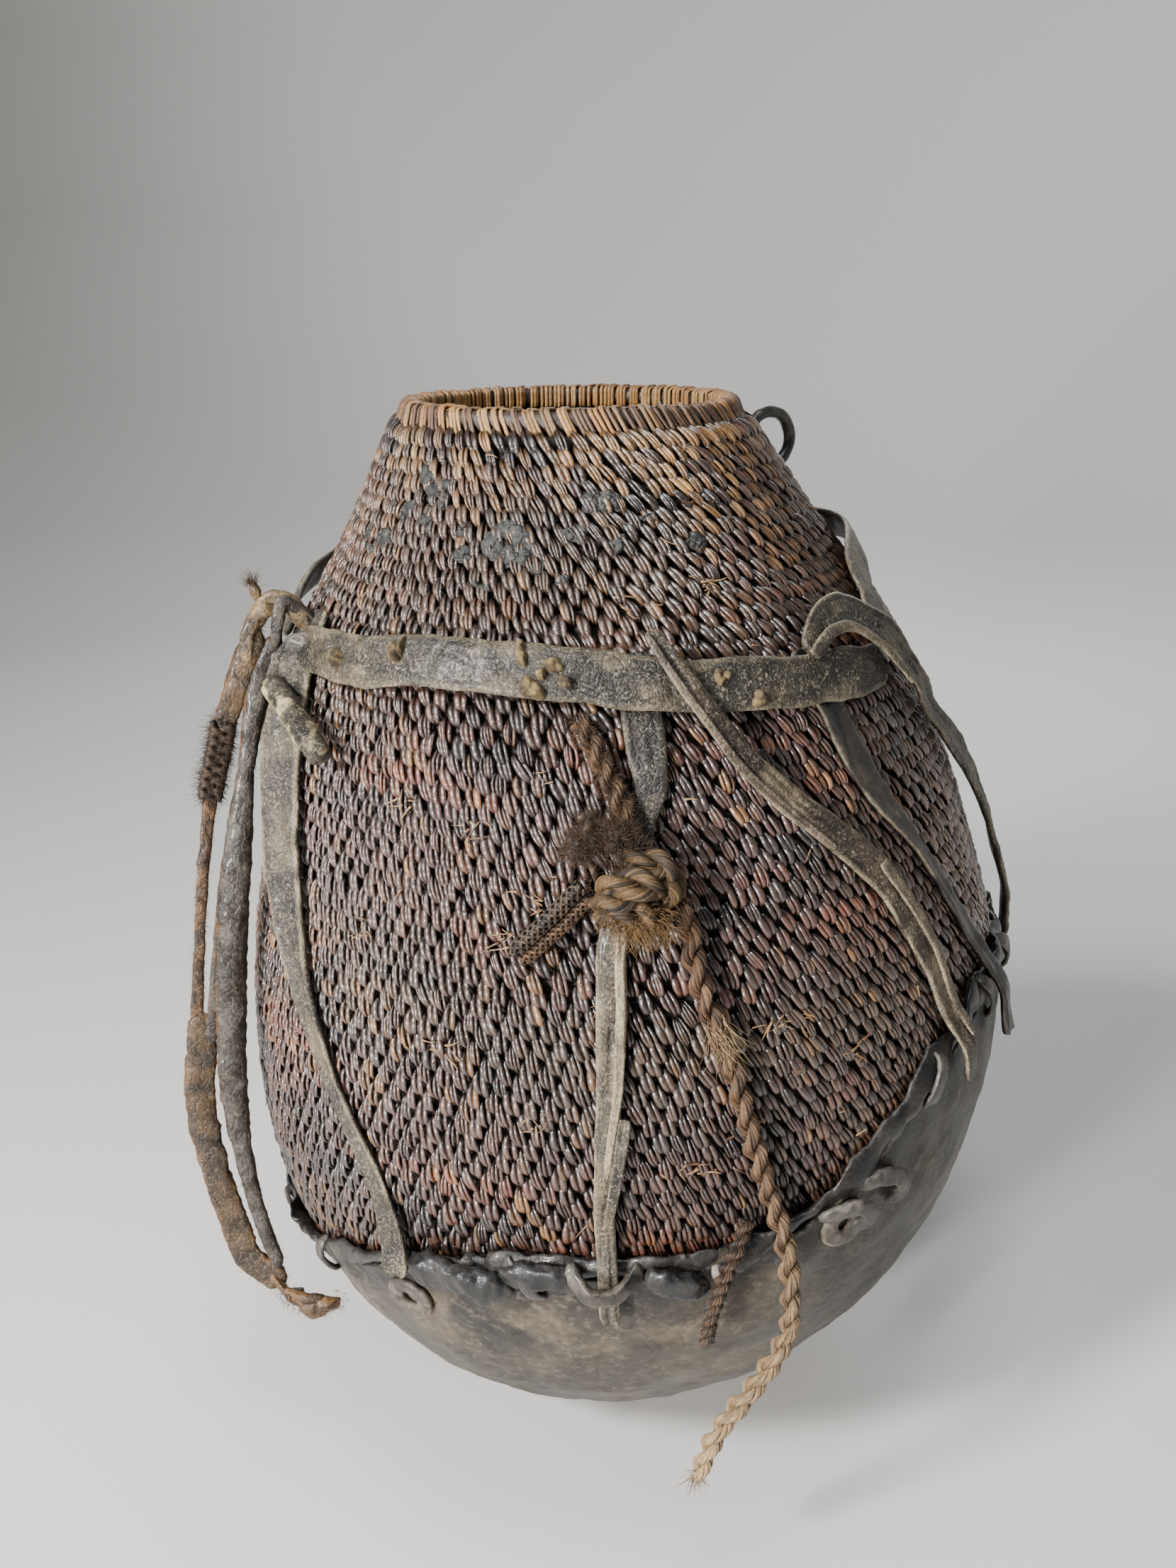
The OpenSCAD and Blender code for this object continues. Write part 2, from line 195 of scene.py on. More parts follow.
def noise(points, size, seed=0):
    """Smooth noise from -1 to 1; size is the width of one bump"""
    p = np.asarray(points, float) / size + 137.3 * (seed + 1)
    cell = np.floor(p).astype(np.int64)
    f = p - cell
    f = f * f * (3 - 2 * f)
    total = 0
    for corner in itertools.product((0, 1), repeat=3):
        c = cell + np.array(corner)
        h = (c[..., 0] * 73856093) ^ (c[..., 1] * 19349663) ^ (c[..., 2] * 83492791)
        h = (h ^ (h >> 13)) * 1274126177
        value = ((h ^ (h >> 16)) & 0xFFFF) / 32767.5 - 1
        total = total + value * np.prod(np.where(np.array(corner) == 1, f, 1 - f), axis=-1)
    return total


def fractal(points, size, seed=0, octaves=3):
    return sum(noise(points, size / 2 ** k, seed + 7 * k) / 2 ** k for k in range(octaves))


def clip01(value):
    return np.clip(value, 0, 1)


def srgb(*parts):
    """A colour as seen, 0 to 255, in the linear values that shaders use"""
    c = np.array(parts, float) / 255
    return np.where(c <= 0.04045, c / 12.92, ((c + 0.055) / 1.055) ** 2.4)


def two_tone(*parts):
    """A light and a dark colour, from six values as seen"""
    return srgb(*parts[:3]), srgb(*parts[3:])


def mix(a, b, share):
    share = clip01(np.asarray(share, float))[..., None]
    return np.asarray(a) * (1 - share) + np.asarray(b) * share


def patchy(tones, grid, size, seed, strength=1.0, octaves=3):
    """Two tones in cloudy patches"""
    return mix(tones[0], tones[1], 0.5 + strength * fractal(grid, size, seed, octaves))


# ---------------------------------------------------------------- shapes

def tubes(paths, wide, thick, up, sides=6):
    """Oval tubes round paths[..., ring, xyz]; wide and thick are half sizes, across and along up"""
    side, rise = across(paths, up)
    angle = round_steps(sides, 0.5)
    wide = np.broadcast_to(wide, paths.shape[:-1])[..., None]
    thick = np.broadcast_to(thick, paths.shape[:-1])[..., None]
    return rings_round(paths, side, rise, wide * np.cos(angle), thick * np.sin(angle))


def quads_of(rings, corners, closed=False):
    i, j = np.meshgrid(np.arange(rings if closed else rings - 1), np.arange(corners), indexing="ij")
    k = (j + 1) % corners
    n = (i + 1) % rings
    body = np.stack([i * corners + j, i * corners + k, n * corners + k, n * corners + j], -1)
    if closed:
        return body.reshape(-1, 4)
    h = np.arange(corners // 2 - 1)
    start = np.stack([h, corners - 1 - h, corners - 2 - h, h + 1], -1)
    end = np.stack([h, h + 1, corners - 2 - h, corners - 1 - h], -1) + (rings - 1) * corners
    return np.vstack([body.reshape(-1, 4), start, end])


def volume(points, quads):
    a, b, c, d = (points[quads[:, k]] for k in range(4))
    return (np.cross(a, b) * c).sum() + (np.cross(a, c) * d).sum()


def shape(rings, tint, closed=False):
    """Points, quads, colours and lengthwise grain of closed shapes from rings[..., ring, corner, xyz]"""
    rings = np.asarray(rings, float)
    count, corners = rings.shape[-3:-1]
    batch = rings.reshape(-1, count * corners, 3)
    quads = quads_of(count, corners, closed)
    if volume(batch[0] - batch[0].mean(0), quads) < 0:
        quads = quads[:, ::-1]
    quads = (quads[None] + (np.arange(len(batch)) * count * corners)[:, None, None]).reshape(-1, 4)
    tint = np.asarray(tint, float)
    while tint.ndim < rings.ndim:
        tint = tint[..., None, :]
    turn = round_steps(corners)
    step = np.linalg.norm(np.diff(batch[0].reshape(count, corners, 3).mean(1), axis=0), axis=-1).mean()
    grain = np.zeros((len(batch), count, corners, 3))
    grain[..., 0] = np.cos(turn)
    grain[..., 1] = np.sin(turn)
    grain[..., 2] = 0.1 * step * np.arange(count)[:, None]
    grain = grain + 7.31 * np.arange(len(batch))[:, None, None, None]  # so that no two shapes match
    colour = np.broadcast_to(tint, rings.shape)
    return batch.reshape(-1, 3), quads, colour.reshape(-1, 3), grain.reshape(-1, 3)


def piece(name, shapes, material, body="vessel", nodes=()):
    """One object made of shapes. It rides on body and stands for the CAD nodes named."""
    starts = np.cumsum([0] + [len(s[0]) for s in shapes])
    points = np.vstack([s[0] for s in shapes])
    quads = np.vstack([s[1] + start for s, start in zip(shapes, starts)])
    tint = np.vstack([s[2] for s in shapes])
    data = bpy.data.meshes.new(name)
    data.vertices.add(len(points))
    data.vertices.foreach_set("co", (points * MM).astype(np.float32).ravel())
    data.loops.add(4 * len(quads))
    data.loops.foreach_set("vertex_index", quads.astype(np.int32).ravel())
    data.polygons.add(len(quads))
    data.polygons.foreach_set("loop_start", np.arange(0, 4 * len(quads), 4, dtype=np.int32))
    data.update(calc_edges=True)
    data.shade_smooth()
    colour = data.color_attributes.new("tint", "FLOAT_COLOR", "POINT")
    rgba = np.hstack([clip01(tint), np.ones((len(tint), 1))])
    colour.data.foreach_set("color", rgba.astype(np.float32).ravel())
    grain = data.attributes.new("grain", "FLOAT_VECTOR", "POINT")
    streaks = np.vstack([s[3] for s in shapes])
    grain.data.foreach_set("vector", streaks.astype(np.float32).ravel())
    data.materials.append(material)
    obj = bpy.data.objects.new(name, data)
    bpy.context.scene.collection.objects.link(obj)
    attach(obj, body)
    if nodes:
        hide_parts(*nodes)
    return obj


# ---------------------------------------------------------------- materials

tint_share = 0.62  # how much of a tint's brightness a shader keeps under the strong studio light
WEAR = (0.25, 0.215, 0.155, 1)  # colour where the surface is rubbed pale


def finish_material(name, rough, bump, grain, contrast, depth=0.0003, coat=0.0, sheen=0.0,
                    specular=0.5, crackle=0.0, streaks=0.0, speckle=0.0):
    """Colour from the piece's tint with fine variation, uneven roughness and a fine relief.
    rough is (smoothest, roughest); grain is the width in metres of the fine variation; streaks is
    the share of lengthwise grain, which follows each strand or strap; speckle is the share of pale
    wear in fine spots."""
    material = bpy.data.materials.new(name)
    material.use_nodes = True
    tree = material.node_tree
    shader = tree.nodes["Principled BSDF"]
    link = tree.links.new
    add = tree.nodes.new

    def spread(value, low, high, start=0.3, end=0.7):
        node = add("ShaderNodeMapRange")
        node.inputs["From Min"].default_value = start
        node.inputs["From Max"].default_value = end
        node.inputs["To Min"].default_value = low
        node.inputs["To Max"].default_value = high
        link(value, node.inputs["Value"])
        return node.outputs["Result"]

    def combine(kind, first, second):
        node = add("ShaderNodeMath")
        node.operation = kind
        link(first, node.inputs[0])
        if isinstance(second, float):
            node.inputs[1].default_value = second
        else:
            link(second, node.inputs[1])
        return node.outputs["Value"]

    def cloud(vector, scale, detail=4):
        node = add("ShaderNodeTexNoise")
        node.inputs["Scale"].default_value = scale
        node.inputs["Detail"].default_value = detail
        node.inputs["Roughness"].default_value = 0.65
        link(vector, node.inputs["Vector"])
        return node.outputs["Fac"]

    tint = add("ShaderNodeAttribute")
    tint.attribute_name = "tint"
    place = add("ShaderNodeTexCoord").outputs["Object"]
    fine = cloud(place, 1 / grain)
    broad = cloud(place, 0.16 / grain, 3)
    height = fine
    shade = combine("MULTIPLY", spread(fine, tint_share * (1 - contrast), tint_share * (1 + contrast)),
                    spread(broad, 1 - 0.6 * contrast, 1 + 0.6 * contrast))
    if streaks:
        lines = add("ShaderNodeAttribute")
        lines.attribute_name = "grain"
        fibre = cloud(lines.outputs["Vector"], 3.2, 3)
        shade = combine("MULTIPLY", shade, spread(fibre, 1 - streaks, 1 + streaks))
        height = combine("ADD", fine, combine("MULTIPLY", fibre, 2.5 * streaks))
    scaled = add("ShaderNodeVectorMath")
    scaled.operation = "SCALE"
    link(tint.outputs["Color"], scaled.inputs[0])
    link(shade, scaled.inputs["Scale"])
    link(scaled.outputs["Vector"], shader.inputs["Base Color"])
    if speckle:
        spots = combine("MULTIPLY", spread(cloud(place, 1.1 / grain, 3), 0, speckle, 0.53, 0.62),
                        spread(broad, 0.2, 1.0, 0.42, 0.6))
        worn = add("ShaderNodeMixRGB")
        link(spots, worn.inputs["Fac"])
        link(scaled.outputs["Vector"], worn.inputs["Color1"])
        worn.inputs["Color2"].default_value = WEAR
        link(worn.outputs["Color"], shader.inputs["Base Color"])
    link(spread(broad, rough[0], rough[1]), shader.inputs["Roughness"])
    if crackle:
        cells = add("ShaderNodeTexVoronoi")
        cells.feature = "DISTANCE_TO_EDGE"
        cells.inputs["Scale"].default_value = 0.4 / grain
        link(place, cells.inputs["Vector"])
        height = combine("ADD", height, spread(cells.outputs["Distance"], 0, crackle, 0, 0.12))
    relief = add("ShaderNodeBump")
    relief.inputs["Strength"].default_value = bump
    relief.inputs["Distance"].default_value = depth
    link(height, relief.inputs["Height"])
    link(relief.outputs["Normal"], shader.inputs["Normal"])
    shader.inputs["Specular IOR Level"].default_value = specular
    shader.inputs["Coat Weight"].default_value = coat
    shader.inputs["Coat Roughness"].default_value = 0.16
    shader.inputs["Sheen Weight"].default_value = sheen
    return material


stitch_finish = finish_material("stitched_fibre", (0.2, 0.4), 0.6, 0.0009, 0.35, coat=0.85, specular=0.6,
                                streaks=0.35)
core_finish = finish_material("coil_core", (0.7, 0.95), 0.8, 0.0015, 0.5)
straw_finish = finish_material("pale_straw", (0.35, 0.6), 0.5, 0.0009, 0.3, streaks=0.3)
hide_finish = finish_material("raw_hide", (0.42, 0.72), 0.7, 0.0030, 0.4, 0.0005, coat=0.1, crackle=0.3,
                              specular=0.35, speckle=0.2)
leather_finish = finish_material("strap_leather", (0.34, 0.62), 1.0, 0.0008, 0.6, coat=0.06, specular=0.32,
                                 crackle=0.4, streaks=0.15, speckle=0.7)
lace_finish = finish_material("dark_lacing", (0.26, 0.55), 0.9, 0.0014, 0.5, 0.0004, coat=0.2, specular=0.35)
pitch_finish = finish_material("dried_pitch", (0.5, 0.85), 0.9, 0.0014, 0.5, 0.0006, crackle=0.6)
mud_finish = finish_material("dried_mud", (0.85, 1.0), 0.9, 0.0009, 0.5, 0.0006)
hair_finish = finish_material("hair", (0.45, 0.7), 0.3, 0.001, 0.35, 0.0002, sheen=0.03, specular=0.3,
                              streaks=0.3)
rope_finish = finish_material("rope_fibre", (0.42, 0.7), 0.7, 0.0009, 0.35, specular=0.35, streaks=0.5)
worn_finish = finish_material("worn_hide", (0.3, 0.65), 0.9, 0.0012, 0.45, 0.0004, coat=0.12, crackle=0.3,
                              specular=0.35, streaks=0.25, speckle=0.25)

# ---------------------------------------------------------------- camera

camera_data = bpy.data.cameras.new("camera")
camera_data.sensor_fit = "VERTICAL"
camera_data.sensor_height = 36
camera_data.lens = 30.1
camera_data.clip_start = 0.01
camera = bpy.data.objects.new("camera", camera_data)
bpy.context.scene.collection.objects.link(camera)
bpy.context.scene.camera = camera
camera.location = (-0.002, -0.408, 0.361)
camera.rotation_euler = (math.radians(90 - 20.5), math.radians(0.57), 0)

# ---------------------------------------------------------------- cords

ROPE_PALE = srgb(122, 90, 62)
ROPE_DARK = srgb(50, 33, 24)
ROPE_CREAM = srgb(206, 176, 130)
HAIR_BROWN = srgb(64, 46, 31)
HAIR_DARK = srgb(28, 20, 14)
HAIR_WARM = srgb(84, 60, 40)


def ply_rope(route, radius, ply_turn, draw, tones, fibres=9, phase=0.0):
    """Two plies laid round each other, each a bundle of fibre strands. route is a dense path"""
    run = run_along(route)
    side, rise = across(route, (0, -1, 0.2))
    swell = 1 + 0.10 * noise(flat(run, 0), 6, 3)
    shapes = []
    for ply in (0, 1):
        turn = 2 * np.pi * run / ply_turn + np.pi * ply + phase
        centre = off_path(route, side, rise, turn, 0.5 * radius * swell)
        for k in range(fibres):
            roll = -2 * np.pi * run / (ply_turn * 1.1) + 2 * np.pi * k / fibres + draw.uniform(-.2, .2)
            reach = radius * swell * (0.42 + 0.05 * noise(flat(run, 9 * k), 4, ply))
            spot = off_path(centre, side, rise, roll, reach)
            tone = mix(tones[0], tones[1], draw.uniform(0, 1)) * np.ones((len(run), 1))
            if len(tones) > 2:
                bleached = tones[2] * draw.uniform(0.8, 1.1)
                tone = mix(tone, bleached, (run / run[-1]) ** 3 * draw.uniform(0.6, 1))
            strand = tubes(spot, 0.19 * radius * swell, 0.16 * radius * swell, spot - centre)
            shapes.append(shape(strand, tone))
    return shapes


def stray_fibres(places, heads, length, half, draw, tones, curl=0.35, rings=7):
    """Short loose fibres from places, heading about along heads"""
    count = len(places)
    steps = np.linspace(0, 1, rings)[:, None]
    size = length * draw.uniform(0.5, 1.2, (count, 1, 1))
    bend = unit(draw.normal(size=(count, 1, 3))) * curl
    bend_more = unit(draw.normal(size=(count, 1, 3))) * curl * 0.6
    sweep = steps * heads[:, None, :] + steps ** 2 * bend + steps ** 3 * bend_more
    paths = places[:, None, :] + size * sweep
    thick = half * (1 - 0.75 * steps[:, 0])[None] * draw.uniform(0.7, 1.3, (count, 1))
    tone = mix(tones[0], tones[1], draw.uniform(0, 1, count))
    return shape(tubes(paths, thick, thick, (0.31, -0.9, 0.3), 4), tone)


def fuzz(path, reach, count, length, half, draw, tones, droop=(0, 0, -0.3), curl=0.6):
    """Short curly hairs standing off a path"""
    spots = path[draw.integers(0, len(path), count)]
    heads = unit(draw.normal(size=spots.shape))
    return stray_fibres(spots + heads * reach, unit(heads + droop), length, half, draw, tones, curl)


def make_rope():
    draw = np.random.default_rng(11)
    route = curve(np.array(ROPE_ROUTE) / MM, 0.6)
    shapes = ply_rope(route, 2.9, 15.8, draw, (ROPE_PALE, ROPE_DARK, ROPE_CREAM), 10)
    spots = route[draw.integers(10, len(route) - 5, 260)]
    heads = unit(draw.normal(size=spots.shape) + (0, -0.3, -0.6))
    shapes.append(stray_fibres(spots + heads * 1.8, heads, 1.7, 0.09, draw, (ROPE_PALE, ROPE_DARK)))
    return piece("twisted_rope", shapes, rope_finish, nodes=["rope_tail"])


def make_rope_frays():
    """A tuft where a strand of the rope has broken, and its frayed end"""
    draw = np.random.default_rng(14)
    route = curve(np.array(ROPE_ROUTE) / MM, 0.6)
    tones = (ROPE_CREAM, ROPE_PALE)
    break_z = 186
    broken = int(np.argmin(np.abs(route[:, 2] - break_z)))
    spread = draw.normal(size=(110, 3)) * (1.5, 1.2, 2.5)
    tuft = np.repeat(route[[broken]], 110, axis=0) + spread + (0.5, -1.2, 0)
    heads = unit(draw.normal(size=tuft.shape) * 0.32 + (0.5, -0.25, -1))
    tuft_fibres = stray_fibres(tuft, heads, 9, 0.15, draw, tones, 0.2)
    upper = piece("rope_tuft", [tuft_fibres], rope_finish)
    ends = np.repeat(route[[-1]], 60, axis=0) + draw.normal(size=(60, 3)) * 0.8
    heads = unit(draw.normal(size=ends.shape) * 0.25 + (-0.1, 0, -1))
    end_fibres = stray_fibres(ends, heads, 6, 0.14, draw, tones)
    lower = piece("rope_frayed_end", [end_fibres], rope_finish)
    return [upper, lower]


def make_thong():
    draw = np.random.default_rng(12)
    route = curve(np.array(THONG_ROUTE) / MM, 0.5)
    shapes = ply_rope(route, 2.15, 7, draw, (HAIR_WARM, HAIR_DARK))
    spots = route[draw.integers(4, len(route), 460)]
    heads = unit(draw.normal(size=spots.shape) + (0, -0.2, -0.8))
    shapes.append(stray_fibres(spots + heads * 1.3, heads, 1.6, 0.09, draw, (HAIR_WARM, HAIR_DARK)))
    return piece("hair_thong_strands", shapes, hair_finish, nodes=["hair_thong"])


rope = make_rope()
make_rope_frays()
thong = make_thong()

# ---------------------------------------------------------------- the stitched wall

row_pitch = 4.2  # height of one coil along the wall
# Spacing of the stitches along a row, by height
STITCH_PITCH = np.array([(60, 5.3), (240, 5.4), (285, 5.0), (305, 4.3), (332, 4.0)])
first_row_z = 58
PLUM = srgb(92, 66, 56)
DUSK = srgb(54, 45, 42)
MAUVE = srgb(124, 88, 76)
RUST = srgb(160, 96, 62)
RED = srgb(126, 62, 48)
TAN = srgb(174, 124, 70)
STRAW = srgb(194, 152, 98)
EARTH = srgb(92, 73, 56)


def pitch_at(z):
    return np.interp(z, STITCH_PITCH[:, 0], STITCH_PITCH[:, 1])


def stitch_rows():
    """Heights of the rows and the angles of their stitches, each between two of the row below"""
    draw = np.random.default_rng(3)
    rows = []
    z = first_row_z
    angles = None
    while z < vessel_h - 5.5:
        count = round(2 * math.pi * float(wall_r(z)) / pitch_at(z))
        if angles is None:
            angles = np.arange(count) * 360 / count
        angles = angles + 0.36 * np.diff(np.append(angles, angles[0] + 360))
        while len(angles) != count:
            gaps = np.diff(np.append(angles, angles[0] + 360)) * draw.uniform(0.7, 1.3, len(angles))
            if len(angles) > count:
                angles = np.delete(angles, int(np.argmin(gaps)))
            else:
                k = int(np.argmax(gaps))
                following = angles[k + 1] if k + 1 < len(angles) else angles[0] + 360
                angles = np.insert(angles, k + 1, (angles[k] + following) / 2)
        for _ in range(3):
            before = np.append(angles[-1] - 360, angles[:-1])
            after = np.append(angles[1:], angles[0] + 360)
            angles = angles + 0.2 * (before + after - 2 * angles)
        rows.append((z, angles.copy()))
        z += row_pitch / math.sqrt(1 + float(slope(z)) ** 2)
    return rows


def stitch_tints(a, z, draw):
    """Colour of each stitch from where it is on the vessel"""
    a = (a + 180) % 360 - 180
    n = len(a)
    drift = flat(np.radians(a) * wall_r(z), 5 * z)  # colour drifts along the rows
    tint = mix(PLUM, DUSK, 0.5 + 0.9 * fractal(drift, 70, 12) + draw.normal(0, 0.3, n))
    tint = mix(tint, MAUVE, clip01(0.9 * fractal(drift, 50, 17)) * draw.uniform(0.2, 1, n))
    warm = clip01(1.3 * fractal(drift, 60, 5) - 0.15)
    warm = warm + 0.8 * np.exp(-((z - 295) / 2.5) ** 2) + 0.7 * np.exp(-((z - 286) / 2.5) ** 2)
    red = mix(RED, RUST, draw.uniform(0, 1, n))
    tint = mix(tint, red, 0.75 * clip01(warm) * draw.uniform(0.2, 1, n))
    tanned = 0.01 + 0.3 * clip01(1.4 * fractal(drift, 80, 26) - 0.4)
    tint = mix(tint, TAN, (draw.uniform(0, 1, n) < tanned) * draw.uniform(0.2, 0.6, n))
    side = clip01((np.abs(a + 20) - 50) / 25) * (np.abs(a) < 125)
    brown = mix(RUST, TAN, draw.uniform(0, 0.7, n))
    tint = mix(tint, brown, 0.5 * side * draw.uniform(0.2, 1, n) * (z < 240))
    tint = mix(tint, EARTH, 0.6 * clip01(fractal(drift, 90, 9)))
    tint = mix(tint, EARTH, 0.45 * clip01((z - 262) / 20) * clip01((312 - z) / 10))
    top = clip01((z - 303 + 5 * noise(drift, 90, 4)) / 20)
    streak = np.exp(-((z - 312 + 0.12 * (a - 20)) / 5) ** 2) * np.exp(-((a - 33) / 26) ** 2)
    straw = clip01(0.95 * top + 0.7 * streak) * (draw.uniform(0, 1, n) < 0.62) * draw.uniform(0.3, 0.9, n)
    return mix(tint, mix(STRAW, TAN, draw.uniform(0, 1, n)), straw)


# One stitch from its tucked top to its tucked foot: share of the row pitch, lift, spread, brightness. The
# brightness is painted light and shade: dark where the ends tuck under the neighbouring stitches, lighter
# than the tint just below the middle.
STITCH = np.array([(0.88, -2.0, 0.5, 0.12), (0.64, -1.0, 0.76, 0.3), (0.38, -0.3, 0.98, 0.68),
                   (0.10, 0.12, 1.1, 0.95), (-0.20, 0.26, 1.08, 1.15), (-0.46, 0.08, 0.9, 1.15),
                   (-0.66, -0.6, 0.68, 0.7), (-0.80, -2.0, 0.5, 0.2)])
stitch_share = 0.7  # a stitch's width, as a share of the spacing
strand_h = 0.5  # half a strand's thickness
inner_face = -5.0  # the stitches' inner sides below the wall's outer surface


def stitches(rows, draw, inner=False):
    """The strands of whole rows of stitches, two to four strands to a stitch"""
    a = np.concatenate([angles for _, angles in rows])
    z = np.concatenate([np.full(len(angles), height) for height, angles in rows])
    pitch = pitch_at(z)
    a = a + draw.normal(0, 0.12, len(a))
    z = z + draw.normal(0, 0.25, len(a))
    keep = z > cup_edge(a) - 7
    a, z, pitch = a[keep], z[keep], pitch[keep]
    front = (a + 180) % 360 - 180
    tilt = np.radians(17 + 7 * noise(at(a, z, 0), 50, 8) + 9 * clip01((z - 296) / 20)
                      + 6 * np.clip((front + 5) / 50, -0.8, 1) + draw.normal(0, 6, len(a)))
    tint = stitch_tints(a, z, draw)
    if inner:
        pale = mix(STRAW, EARTH, draw.uniform(0, 1, len(a)))
        tint = mix(tint, pale, np.clip((z - 280) / 40, 0, 0.85))
    strands = draw.choice([2, 3, 4], len(a), p=[0.4, 0.45, 0.15])
    share, lift, spread, bright = STITCH.T
    shapes = []
    for n in (2, 3, 4):
        chosen = strands == n
        count = int(chosen.sum())
        for k in range(n):
            off_middle = k - (n - 1) / 2
            width = stitch_share * pitch[chosen] * draw.uniform(0.85, 1.12, count)
            v = share * row_pitch * draw.uniform(0.92, 1.12, (count, 1))
            v = v + draw.normal(0, 0.16, (count, 1))
            u = (off_middle * width / n)[:, None] * spread - v * np.tan(tilt[chosen])[:, None]
            u = u + draw.normal(0, 0.12, (count, 1))
            w = lift + draw.normal(0, 0.2, (count, 1)) + 0.16 - 0.3 * abs(off_middle)
            if inner:
                w = inner_face - 0.35 * w
            az, height = beside(a[chosen][:, None], z[chosen][:, None], u, v)
            paths = at(az, np.minimum(height, vessel_h - 1.5), w)
            half = 0.5 * width[:, None] / n * draw.uniform(0.8, 1.15, (count, 1)) * (0.4 + 0.6 * spread)
            tone = 0.82 * tint[chosen] * draw.uniform(0.6, 1.35, (count, 1))
            pale = (draw.uniform(0, 1, count) < 0.035) * draw.uniform(0.1, 0.5, count)
            # bright paints shade on each strand's tucked ends and light just below its middle
            tone = mix(tone, TAN, pale)[:, None, :] * bright[:, None]
            shapes.append(shape(tubes(paths, half, strand_h, out(az, height)), tone))
    return shapes


# Places of torn stitches: (angle, height), and the middles of short torn rows
TORN = [(-20, 232), (-2, 193), (-25, 174), (19, 182), (-16, 207), (-11, 216), (8, 146), (-32, 236), (24, 291),
        (6, 286), (-12, 160), (30, 170), (-38, 200), (14, 158)]
TORN_ROWS = [(8, 146), (-26, 174), (20, 183)]


def make_torn_stitches():
    """Broken strands and ends of straw that stand out of the wall"""
    draw = np.random.default_rng(22)
    spots = []
    for a, z in TORN:
        for _ in range(int(draw.integers(4, 10))):
            spots.append((a + draw.normal(0, 1.0), z + draw.normal(0, 1.8)))
    for _ in range(130):
        a = draw.uniform(-180, 180)
        spots.append((a, draw.uniform(float(cup_edge(a)) + 6, 322)))
    for a, z in TORN_ROWS:
        for k in range(-2, 3):
            spots.append((a + 2.2 * k, z + draw.normal(0, 0.4)))
    a, z = np.array(spots).T
    up = out(a, z)
    along = flat(np.cos(np.radians(a)), np.sin(np.radians(a)))
    rise = np.cross(along, up)
    turn = draw.uniform(-0.9, 0.9, len(a))[:, None] + 1.2 * draw.choice([-1, 1], len(a))[:, None]
    heads = unit(np.cos(turn) * rise + np.sin(turn) * along + up * draw.uniform(0.05, 0.35, (len(a), 1)))
    places = at(a, z, 0.1 + draw.uniform(0, 0.6, len(a)))
    straws = stray_fibres(places, heads, 4.0, 0.36, draw, two_tone(184, 146, 98, 120, 82, 54), 0.3)
    piece("torn_straws", [straws], straw_finish)


def make_wall(rows):
    """The coiled core behind the stitches, with a ridge for each coil inside and outside"""
    heights = np.concatenate([np.linspace(4, first_row_z, 40, endpoint=False),
                              np.arange(first_row_z, vessel_h - 4.8, 0.68)])
    row_z = np.array([z for z, _ in rows])
    ridge = np.cos(2 * np.pi * np.interp(heights, row_z, np.arange(len(row_z))))[:, None]
    a, z = np.meshgrid(np.arange(0, 360, 0.8), heights)
    outer_ridge = ridge * (z > first_row_z)
    outer = at(a, z, -2.5 + 0.55 * outer_ridge + 0.2 * fractal(at(a, z, 0), 3, 2))
    z = z[::-1]
    inner = at(a, z, -5.3 + 0.7 * ridge[::-1] + 0.25 * fractal(at(a, z, -5), 3, 6))
    foot_z = 24  # below this the floor of the inside is thicker
    inner[..., 2] = np.where(z < foot_z, np.maximum(inner[..., 2], z + 4), inner[..., 2])
    # The outer face, seen only in the gaps between the stitches, is painted darker than the inner face:
    # painted shade in the gaps.
    tint_out = mix(srgb(30, 24, 22), srgb(62, 46, 36), clip01(fractal(outer, 12, 3)))
    tint_in = patchy(two_tone(92, 68, 48, 58, 42, 32), inner, 10, 3)
    tint_in = mix(tint_in, srgb(190, 156, 108), clip01((z - 292) / 30))
    core = shape(np.vstack([outer, inner]), np.vstack([tint_out, tint_in]))
    piece("coil_wall", [core], core_finish, nodes=["basket_wall"])


def make_weave(rows, bands=16):
    draw = np.random.default_rng(21)
    per_band = math.ceil(len(rows) / bands)
    for band in range(math.ceil(len(rows) / per_band)):
        chosen = rows[band * per_band:(band + 1) * per_band]
        piece(f"stitch_rows_{band + 1:02d}", stitches(chosen, draw), stitch_finish)


def make_inner_stitches(rows):
    draw = np.random.default_rng(24)
    high_rows = [row for row in rows if row[0] > 236]
    piece("inner_stitches", stitches(high_rows, draw, inner=True), straw_finish)


